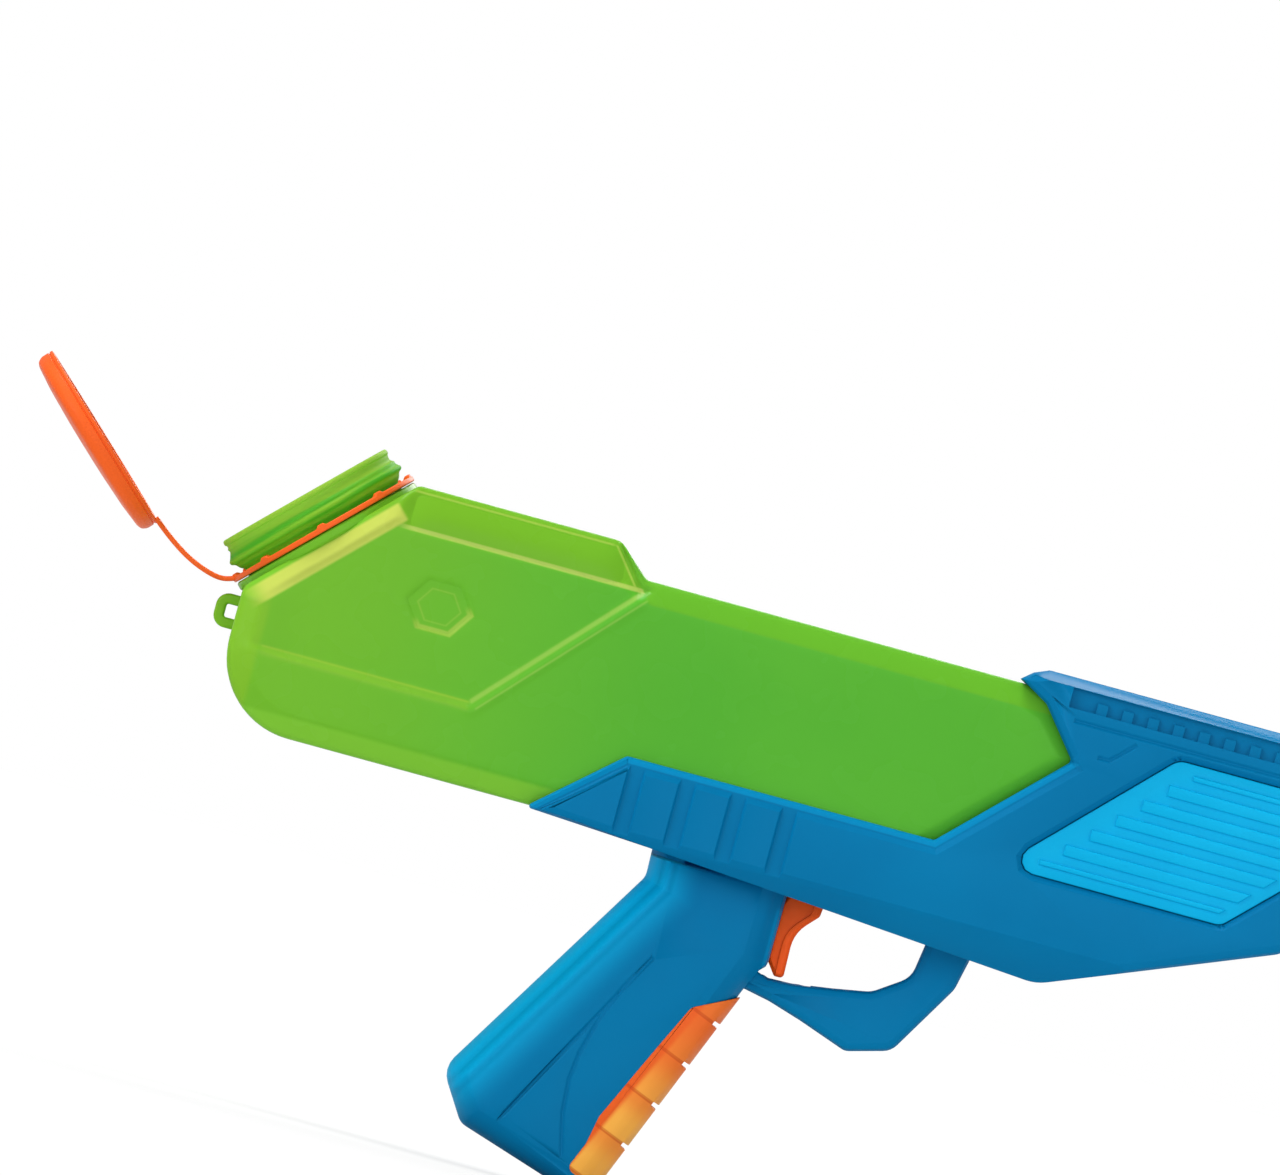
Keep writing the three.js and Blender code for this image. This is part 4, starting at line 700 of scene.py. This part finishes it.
def fitted(points):
    """Closes the seam between the halves, and brings the grip's front edge forward by up to 1.3 mm
    beside the trigger's back."""
    x, y, z = points.T / MILLIMETRE
    near = ease(x, 35.5, 38.5) * (1 - ease(x, 42, 43)) * ease(z, 28.3, 29.8) * (1 - ease(z, 52, 56))
    near = near * (np.abs(y) > 5.1) * (1 - ease(np.abs(y), 9, 12))
    y = np.where(np.abs(y) < 0.3, 0, y)
    return np.stack([x + 1.3 * near, y, z], axis=1) * MILLIMETRE


def snug(points):
    """Lets the finger insert reach under the edge of its pocket: stretched by 2.8% away from its
    front line and by 0.6% along it."""
    x, y, z = points.T / MILLIMETRE
    front = 0.028 * ((x - INSERT_X) * INSERT_COS - (z - INSERT_Z) * INSERT_SIN - 12.6)
    along = 0.006 * ((x - INSERT_X) * INSERT_SIN + (z - INSERT_Z) * INSERT_COS + 9)
    x = x + front * INSERT_COS + along * INSERT_SIN
    z = z - front * INSERT_SIN + along * INSERT_COS
    return np.stack([x, y, z], axis=1) * MILLIMETRE


# %% Rounded copies of solids
SOLID_WELD = 2e-6
FLAT_ANGLE = math.radians(0.6)


def eased_copy(name, node, width, sharp=24, whole=True, moved=None):
    """A copy of a node's mesh with doubles merged and a bevel on edges sharper than an angle. With
    whole, flat areas become one face first; moved may shift the points."""
    work = bmesh.new()
    work.from_mesh(nodes[node].data)
    bmesh.ops.remove_doubles(work, verts=work.verts, dist=SOLID_WELD)
    if whole:
        bmesh.ops.dissolve_limit(
            work, angle_limit=FLAT_ANGLE, verts=work.verts, edges=work.edges, delimit=set()
        )
    mesh = bpy.data.meshes.new(name)
    work.to_mesh(mesh)
    work.free()
    mesh.materials.clear()
    if moved:
        points = np.empty(3 * len(mesh.vertices))
        mesh.vertices.foreach_get("co", points)
        mesh.vertices.foreach_set("co", moved(points.reshape(-1, 3)).ravel())
    made = bpy.data.objects.new(name, mesh)
    bpy.context.scene.collection.objects.link(made)
    mesh.polygons.foreach_set("use_smooth", np.ones(len(mesh.polygons), bool))
    edge = made.modifiers.new("soft edges", "BEVEL")
    edge.width = width * MILLIMETRE
    edge.segments = 2
    edge.limit_method = "ANGLE"
    edge.angle_limit = math.radians(sharp)
    edge.use_clamp_overlap = False
    edge.harden_normals = True
    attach(made, nodes[node]["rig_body"])
    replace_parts(made, node)
    print(name, len(mesh.polygons), "faces before rounding")
    return made


for side in ("right", "left"):
    eased_copy(f"housing_{side}", f"body_shell_{side}", 0.12, 20, whole=False, moved=fitted)
for side in ("right", "left"):
    eased_copy(f"ribbed_panel_{side}", f"side_panel_{side}", 0.3)
insert = eased_copy("finger_insert", "grip_insert", 0.25, moved=snug)
lever = eased_copy("trigger_lever", "trigger", 0.15)
eased_copy("muzzle_collar", "muzzle_ring", 0.5)
eased_copy("nozzle_tip", "nozzle", 0.4)

# %% [markdown]
# ## Finishes
# A finish is a tree of shader nodes. The class below lets a socket stand in a sum, so a
# mask can be written as plain arithmetic. All the plastics but the tank's share one recipe: the
# pigment's colour drifts slowly over the piece, the skin has a fine mould grain, and the gloss varies
# a little.

# %% Sockets in sums


class Wire:
    """A shader socket that can be added, subtracted, multiplied and divided."""

    def __init__(self, tree, socket=None):
        self.tree = tree
        self.socket = socket

    def node(self, kind, settings=None, inputs=None, out=0):
        """A new node of a kind: settings first, then values or wires for its sockets."""
        made = self.tree.nodes.new(kind)
        for key, value in (settings or {}).items():
            setattr(made, key, value)
        for key, value in (inputs or {}).items():
            if isinstance(value, Wire):
                self.tree.links.new(value.socket, made.inputs[key])
            else:
                made.inputs[key].default_value = value
        return Wire(self.tree, made.outputs[out])

    def outputs(self, *names):
        """Wires for several outputs of the node that this wire comes from."""
        return [Wire(self.tree, self.socket.node.outputs[name]) for name in names]

    def sum(self, operation, first, second):
        """Two values joined by a named operation."""
        return self.node("ShaderNodeMath", {"operation": operation}, {0: first, 1: second})

    def __add__(self, other):
        return self.sum("ADD", self, other)

    def __sub__(self, other):
        return self.sum("SUBTRACT", self, other)

    def __rsub__(self, other):
        return self.sum("SUBTRACT", other, self)

    def __mul__(self, other):
        return self.sum("MULTIPLY", self, other)

    def __truediv__(self, other):
        return self.sum("DIVIDE", self, other)

    def __rtruediv__(self, other):
        return self.sum("DIVIDE", other, self)

    def __abs__(self):
        return self.sum("ABSOLUTE", self, 0.0)

    __radd__ = __add__
    __rmul__ = __mul__

    def ramp(self, start, end):
        """0 before start, 1 after end, smooth between."""
        limits = {"Value": self, "From Min": start, "From Max": end}
        return self.node("ShaderNodeMapRange", {"interpolation_type": "SMOOTHSTEP"}, limits)

    def band(self, start, end, blur):
        """1 between start and end, 0 elsewhere, with blurred ends."""
        return self.ramp(start - blur, start + blur) * (1 - self.ramp(end - blur, end + blur))

    def noise(self, place, scale, detail):
        """Cloudy noise from 0 to 1 over a place."""
        sizes = {"Vector": place, "Scale": scale, "Detail": detail}
        return self.node("ShaderNodeTexNoise", None, sizes, out="Fac")

    def mixed(self, factor, first, second):
        """The first colour where the factor is 0, the second where it is 1."""
        colours = {"Factor": factor, 6: first, 7: second}
        return self.node("ShaderNodeMix", {"data_type": "RGBA"}, colours, out=2)


# %% Colours and plain plastic
DRIFT_SCALE, GRAIN_SCALE, WAVE_SCALE = 22, 2600, 90
GRAIN_HEIGHT = 0.00012


def shade(red, green, blue):
    """A screen colour of 0 to 255 as the linear colour that a shader takes."""
    value = np.array([red, green, blue]) / 255
    linear = np.where(value <= 0.04045, value / 12.92, ((value + 0.055) / 1.055) ** 2.4)
    return (*linear.tolist(), 1.0)


def new_finish(name):
    """An empty material: its first wire and its output node."""
    material = bpy.data.materials.new(name)
    material.use_nodes = True
    material.node_tree.nodes.clear()
    start = Wire(material.node_tree)
    output = material.node_tree.nodes.new("ShaderNodeOutputMaterial")
    return material, start, output


def axes(start, place):
    """The three coordinates of a place, in metres."""
    return start.node("ShaderNodeSeparateXYZ", None, {0: place}).outputs("X", "Y", "Z")


def plastic(name, dark, light, gloss, grain, shine=0.2, relief=None, painted_light=None):
    """Moulded plastic: the colour drifts between two shades and a fine grain dents the skin. A
    relief may add a height in metres, and painted light, highlights and shade, may be laid over
    the colour."""
    material, start, output = new_finish(name)
    place = start.node("ShaderNodeTexCoord", out="Object")
    cloud = start.noise(place, DRIFT_SCALE, 3.0)
    fine = start.noise(place, GRAIN_SCALE, 1.0)
    wave = start.noise(place, WAVE_SCALE, 2.0)
    colour = start.mixed(cloud.ramp(0.3, 0.7), shade(*dark), shade(*light))
    # Painted highlights and shade go over the drifting colour.
    if painted_light:
        colour = painted_light(start, place, colour)
    height = (fine * 0.7 + wave * 0.6) * (grain * GRAIN_HEIGHT)
    if relief:
        height = height + relief(start, place)
    dents = start.node("ShaderNodeBump", None, {"Strength": 1.0, "Distance": 1.0, "Height": height})
    skin = start.node(
        "ShaderNodeBsdfPrincipled",
        None,
        {
            "Base Color": colour,
            "Roughness": wave * 0.12 + (gloss - 0.06),
            "Specular IOR Level": shine,
            "Normal": dents,
        },
    )
    start.tree.links.new(skin.socket, output.inputs["Surface"])
    return material


# %% Relief and painted light of the grip


def grip_back(start, place):
    """Distance from the grip's back outline, in metres: the larger of the distances to its upright
    neck and to its slanting back; far from the grip it is large."""
    x, y, z = axes(start, place)
    slant = (x - 0.001) * 0.854 - (z - 0.046) * 0.52
    inside = start.sum("MAXIMUM", slant, x - 0.0008)
    return inside + abs(y).ramp(0.0178, 0.0182) * 0.1 + z.ramp(0.052, 0.056) * 0.1


def grip_flutes(inside):
    """1 in the two flutes, which run 3.5 and 7.3 mm inside the grip's back outline."""
    return inside.band(0.0030, 0.0040, 0.0014) + inside.band(0.0068, 0.0078, 0.0014)


def grip_relief(start, place):
    """The grip is oval and has two flutes along its back: the flank falls away by 5 mm over the last
    20 mm, and the flutes are 0.5 mm deep."""
    inside = grip_back(start, place)
    return inside.ramp(-0.004, 0.02) * 0.005 - grip_flutes(inside) * 0.0005


def grip_painted_light(start, place, colour):
    """Painted highlights: the grip's back is paler, palest at its outline and least so in its flutes,
    where the lessening stands for painted shade; so are the saddle's lip round the tank and the
    grip's edge at the trigger."""
    inside = grip_back(start, place)
    # Painted highlight on the grip's back, lessened in the flutes as painted shade.
    pale = (1 - inside.ramp(0.003, 0.017)) * (1 - grip_flutes(inside) * 0.55)
    colour = start.mixed(pale, colour, shade(0, 170, 224))
    # A brighter painted highlight right at the back's outline.
    colour = start.mixed(1 - inside.ramp(-0.001, 0.006), colour, shade(10, 182, 236))
    x, _, z = axes(start, place)
    # Painted highlights along the saddle's lip round the tank and on the grip's edge by the trigger.
    ramped = (x + 0.0382) * 0.6618 - (z - 0.0565) * 0.7495
    nose = start.sum("MAXIMUM", 0.0784 - z, (x - z - 0.0003) * 0.7071)
    lip = start.sum("MINIMUM", ramped, nose).band(-0.0006, 0.0019, 0.0002)
    lip = lip * (1 - z.ramp(0.1095, 0.111))
    slot = x.band(0.0402, 0.0425, 0.0003) * z.band(0.0295, 0.047, 0.001)
    return start.mixed(lip * 0.55 + slot * 0.6, colour, shade(0, 148, 203))


# %% Painted light and shade of the finger insert
STEP_FIRST, STEP_PITCH = 0.0202, 0.0146


def insert_painted_light(start, place, colour):
    """Painted light on four finger steps 14.6 mm apart: a dark line of painted shade across each, and
    a paler front of painted highlight that grows towards the bottom; a border of 2 mm along the back
    edge keeps the plain colour."""
    x, _, z = axes(start, place)
    climb = (x - 0.0082) * 0.3725 + (z + 0.0495) * 0.928
    front = (x - INSERT_X * MILLIMETRE) * INSERT_COS - (z - INSERT_Z * MILLIMETRE) * INSERT_SIN
    step = start.sum("FRACT", (climb - STEP_FIRST) / STEP_PITCH + 4, 0.0)
    # A line of painted shade across each step.
    line = 1 - step.band(0.035, 0.965, 0.012)
    # Painted highlight on the front of each step, stronger towards the bottom.
    pale = front.ramp(0.0015, 0.0032) * (1 - step.ramp(0.35, 0.95) * 0.5)
    pale = pale * (1 - climb.ramp(0.022, 0.06) * 0.85)
    colour = start.mixed(pale, colour, shade(255, 182, 76))
    return start.mixed(line * 0.55, colour, shade(196, 66, 18))


# %% Tint and painted highlights of the tank


def mark_walls(along, high):
    """The walls of the six-sided mark that catch the light, from its distance in three directions."""
    far = along - MARK_X * MILLIMETRE
    tall = (high - MARK_Z * MILLIMETRE) / MARK_FLATNESS
    away = abs(tall)
    for share in (0.5, -0.5):
        away = along.sum("MAXIMUM", away, abs(far * 0.866 + tall * share))
    lit = (far * 0.5 - tall * 0.866).ramp(0.001, 0.005)
    return away.band(0.0072, 0.009, 0.0004) * lit + away.band(0.0053, 0.0058, 0.0003) * 0.5


def field_highlight_lines(along, high):
    """Painted highlights on the field's edges: the slanting front border, and the sill under it."""
    slant = (along + 0.0617) * 0.736 - (high - 0.0819) * 0.677
    run = (along + 0.0617) * 0.677 + (high - 0.0819) * 0.736
    border = slant.band(-0.0002, 0.0012, 0.0004) + slant.band(0.0028, 0.0034, 0.0003) * 0.7
    sill = high.band(0.0787, 0.0815, 0.0008) * 0.6 + high.band(0.0811, 0.0817, 0.0003)
    return border * run.band(0, 0.059, 0.0005), sill * along.band(-0.124, -0.0615, 0.001)


def tank_tint_and_painted_highlights(start, along, high, cloud):
    """The tank's green, yellower to the rear, on the leaning strips along the edges, along the bottom
    and on the lower rear end; and painted highlights, palest, on the shoulder under the neck, on thin
    lines along the top edge, on the ledge, on the lines of the field and on the lit walls of the mark."""
    stepped = along + high * STEP_RUN - (STEP_X + STEP_RUN * TANK_TOP) * MILLIMETRE
    ahead = stepped.ramp(-0.0005, 0.0005)
    rear = 1 - (along + cloud * 0.04).ramp(-0.105, 0.02)
    lean = high.ramp(0.1255, 0.1262) * (1 - ahead)
    # Painted highlight on the ledge at the foot of the top chamfer.
    ledge = high.band(0.1249, 0.1262, 0.0003) * (1 - ahead) * along.ramp(-0.097, -0.09)
    strip = high.ramp(0.1219, 0.1225) * ahead
    under = 1 - high.ramp(0.0625, 0.064)
    rear_edge = (1 - along.ramp(-0.1255, -0.1235)) * (1 - high.ramp(0.09, 0.1))
    # Painted highlight lines along the rear half's top edge and down the step.
    top_edge_highlight = high.band(0.136, 0.1366, 0.0003) * along.band(-0.0925, -0.033, 0.001)
    top_edge_highlight = top_edge_highlight + stepped.band(-0.0026, -0.0018, 0.0003) * high.band(0.1262, 0.1364, 0.0004)
    # Painted highlight on the shoulder chamfer under the neck.
    gap = (along - high + (SHOULDER_Z - SHOULDER_X) * MILLIMETRE) * HALF_ROOT
    sloped = along + high
    shoulder = gap.band(0.0014, 0.0070, 0.0005) * sloped.ramp(-0.040, -0.028)
    shoulder = shoulder * (1 - sloped.ramp(0.034, 0.036))
    border, sill = field_highlight_lines(along, high)
    colour = start.mixed(cloud.ramp(0.25, 0.75), shade(89, 187, 50), shade(98, 194, 53))
    for mask, paler in (
        (rear * 0.8, (128, 199, 46)),
        (lean * 0.7, (126, 186, 40)),
        (strip * 0.5, (120, 186, 42)),
        (under * 0.8, (138, 212, 60)),
        (rear_edge * 0.5, (150, 204, 48)),
        # Painted highlights: lines along the top edges, the ledge, the shoulder under the neck, the field's
        # edges and the mark's lit walls.
        (top_edge_highlight * 0.6, (190, 216, 92)),
        (ledge * 0.8, (196, 216, 104)),
        (shoulder * 0.95, (208, 219, 96)),
        (border * 0.55, (178, 212, 96)),
        (sill * 0.45, (170, 208, 70)),
        (mark_walls(along, high) * 0.6, (190, 216, 90)),
    ):
        colour = start.mixed(mask, colour, shade(*paler))
    return colour


def neck_paint(start, along, high, rise):
    """The neck's green: streaks that run round it, and a paler rim."""
    ring = start.node("ShaderNodeCombineXYZ", None, {0: rise * 700, 1: along * 25, 2: high * 25})
    streak = start.noise(ring, 1.0, 2.0)
    colour = start.mixed(streak.ramp(0.36, 0.66), shade(92, 198, 54), shade(162, 214, 60))
    return start.mixed(rise.ramp(0.006, 0.0095) * 0.85, colour, shade(190, 222, 84))


# %% Tank plastic and steel


def tank_green():
    """Translucent bottle plastic: a glossy green skin mixed with light that comes through the wall."""
    material, start, output = new_finish("tank_green")
    place = start.node("ShaderNodeTexCoord", out="Object")
    along, _, high = axes(start, place)
    cloud = start.noise(place, 14, 3.0)
    wave = start.noise(place, 60, 2.0)
    rise = (high - along) * HALF_ROOT - (NECK_Z - NECK_X) * HALF_ROOT * MILLIMETRE
    neck = rise.ramp(-0.0012, -0.0008)
    body = tank_tint_and_painted_highlights(start, along, high, cloud)
    colour = start.mixed(neck, body, neck_paint(start, along, high, rise))
    dents = start.node("ShaderNodeBump", None, {"Strength": 0.14, "Distance": 0.0005, "Height": wave})
    skin = start.node(
        "ShaderNodeBsdfPrincipled",
        None,
        {
            "Base Color": colour,
            "Roughness": wave * 0.1 + neck * 0.25 + 0.22,
            "Specular IOR Level": 0.12,
            "Normal": dents,
        },
    )
    through = start.node("ShaderNodeBsdfTranslucent", None, {"Color": shade(132, 205, 52)})
    both = start.node("ShaderNodeMixShader", None, {0: neck * 0.3 + 0.2, 1: skin, 2: through})
    start.tree.links.new(both.socket, output.inputs["Surface"])
    return material


def steel():
    """Plain drawn steel: fine brushed streaks in its gloss."""
    material, start, output = new_finish("plain_steel")
    place = start.node("ShaderNodeTexCoord", out="Object")
    streak = start.node("ShaderNodeMapping", None, {"Vector": place, "Scale": (400, 4000, 400)})
    lines = start.noise(streak, 1.0, 3.0)
    skin = start.node(
        "ShaderNodeBsdfPrincipled",
        None,
        {"Base Color": shade(184, 188, 192), "Metallic": 1.0, "Roughness": lines * 0.2 + 0.22},
    )
    start.tree.links.new(skin.socket, output.inputs["Surface"])
    return material


# %% The finishes
shell_blue = plastic(
    "shell_blue",
    (0, 113, 164),
    (0, 118, 169),
    gloss=0.45,
    grain=0.12,
    shine=0.05,
    relief=grip_relief,
    painted_light=grip_painted_light,
)
insert_orange = plastic(
    "insert_orange",
    (234, 94, 32),
    (240, 100, 36),
    gloss=0.42,
    grain=0.1,
    shine=0.12,
    painted_light=insert_painted_light,
)
# The trigger's orange is a brighter copy, painted light against the shade it sits in between the grip and
# the body.
lever_orange_lightened = plastic("lever_orange_lightened", (255, 90, 27), (255, 97, 30), gloss=0.4, grain=0.02, shine=0.12)
orange = plastic("orange_plastic", (238, 94, 31), (243, 101, 35), gloss=0.4, grain=0.02, shine=0.12)
panel_blue = plastic("panel_blue", (0, 171, 222), (2, 178, 228), gloss=0.42, grain=0.12, shine=0.08)
FINISHES = {
    "shell_blue": shell_blue,
    "panel_blue": panel_blue,
    "orange_plastic": orange,
    "tank_green": tank_green(),
    "black_rubber": plastic("black_rubber", (34, 34, 35), (44, 44, 45), gloss=0.75, grain=0.5),
    "natural_plastic": plastic("natural_plastic", (226, 226, 218), (236, 236, 230), gloss=0.5, grain=0.15),
    "clear_hose": plastic("clear_hose", (205, 212, 206), (220, 226, 222), gloss=0.3, grain=0.1),
    "plain_steel": steel(),
}
print("finishes made:", len(FINISHES) + 2)

# %% Every piece gets its finish
slot_of = {part["node"]: part["material_slot"] for part in frame["record"]["subparts"]}
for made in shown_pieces():
    if "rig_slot" not in made:
        stood_for = list(made.get("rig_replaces", [])) or [made["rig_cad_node"]]
        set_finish(made, slot_of[stood_for[0]])
    made.data.materials.clear()
    made.data.materials.append(FINISHES[made["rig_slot"]])
insert.data.materials[0] = insert_orange
lever.data.materials[0] = lever_orange_lightened

# %% [markdown]
# ## Floor, light and camera
# The photograph shows the toy square on against white, nose down by 15.3 degrees. The toy stays level
# here and the camera rolls instead. The floor and the world show white to the camera. Wide lamps from
# the left, the right and the front light the near side evenly, one from above picks out the top edges,
# and one from behind lights the far side.

# %% Floor and world
FLOOR_REACH = 9
FLOOR_GAP = 0.0005
WHITE = (1, 1, 1, 1)


def to_camera(start):
    """1 for rays that come from the camera, straight or through a clear piece, and 0 for others."""
    straight, through = start.node("ShaderNodeLightPath").outputs("Is Camera Ray", "Is Transmission Ray")
    return (straight + through).ramp(0, 0.5)


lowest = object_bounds()[0][2]
floor_z = lowest - FLOOR_GAP
floor_mesh = bpy.data.meshes.new("floor")
corners = [(-1, -1), (1, -1), (1, 1), (-1, 1)]
floor_mesh.from_pydata([(a * FLOOR_REACH, b * FLOOR_REACH, floor_z) for a, b in corners], [], [(0, 1, 2, 3)])
floor = bpy.data.objects.new("floor", floor_mesh)
bpy.context.scene.collection.objects.link(floor)
pale, start, output = new_finish("pale_floor")
glow = start.node("ShaderNodeEmission", None, {"Color": WHITE, "Strength": 0.76})
matt = start.node("ShaderNodeBsdfDiffuse", None, {"Color": (0.18, 0.18, 0.18, 1)})
white = start.node("ShaderNodeAddShader", None, {0: glow, 1: matt})
plain = start.node("ShaderNodeBsdfDiffuse", None, {"Color": (0.55, 0.55, 0.55, 1)})
both = start.node("ShaderNodeMixShader", None, {0: to_camera(start), 1: plain, 2: white})
start.tree.links.new(both.socket, output.inputs["Surface"])
floor_mesh.materials.append(pale)

world = bpy.data.worlds.new("white_room")
bpy.context.scene.world = world
world.use_nodes = True
world.node_tree.nodes.clear()
sky = Wire(world.node_tree)
room = sky.node("ShaderNodeBackground", None, {"Color": WHITE, "Strength": 0.3})
shown = sky.node("ShaderNodeBackground", None, {"Color": WHITE, "Strength": 1.0})
both = sky.node("ShaderNodeMixShader", None, {0: to_camera(sky), 1: room, 2: shown})
world_out = world.node_tree.nodes.new("ShaderNodeOutputWorld")
world.node_tree.links.new(both.socket, world_out.inputs["Surface"])
print("floor at", round(lowest / MILLIMETRE, 1), "mm")

# %% Lamps
LAMPS = {
    "left": ((-0.74, -0.6, 0.3), 0.92, 36),
    "right": ((0.72, -0.69, 0.06), 0.8, 36),
    "front": ((0.05, -1, 0.06), 1.02, 50),
    "top": ((-0.4, 0, 0.92), 2.5, 30),
    "back": ((0.3, 0.8, 0.5), 1.9, 40),
}


def far_lamp(name, towards, strength, spread):
    """A distant round lamp in a direction, of a spread in degrees: it lights the floor evenly."""
    data = bpy.data.lights.new(name, "SUN")
    data.energy = strength
    data.angle = math.radians(spread)
    lamp = bpy.data.objects.new(name, data)
    bpy.context.scene.collection.objects.link(lamp)
    lamp.rotation_euler = Vector(towards).to_track_quat("Z", "Y").to_euler()


for name, (towards, strength, spread) in LAMPS.items():
    far_lamp(name, towards, strength, spread)
print("lamps:", len(LAMPS))

# %% Camera
PITCH = math.radians(15.3)
PIXEL = 0.29 * MILLIMETRE
PICTURE_WIDTH = 1280
SENSOR = 36
DISTANCE = 12.0
aim = Vector((-0.0227, 0, 0.1264))
right = Vector((math.cos(PITCH), 0, math.sin(PITCH)))
up = Vector((-math.sin(PITCH), 0, math.cos(PITCH)))
back = right.cross(up)
camera_data = bpy.data.cameras.new("photograph")
camera_data.sensor_width = SENSOR
camera_data.lens = SENSOR * DISTANCE / (PICTURE_WIDTH * PIXEL)
camera_data.clip_end = 40
camera = bpy.data.objects.new("photograph", camera_data)
bpy.context.scene.collection.objects.link(camera)
turn = Matrix((right, up, back)).transposed().to_4x4()
camera.matrix_world = Matrix.Translation(aim + back * DISTANCE) @ turn
bpy.context.scene.camera = camera
bpy.context.scene.view_settings.view_transform = "Standard"
print("lens", round(camera_data.lens, 1), "mm")
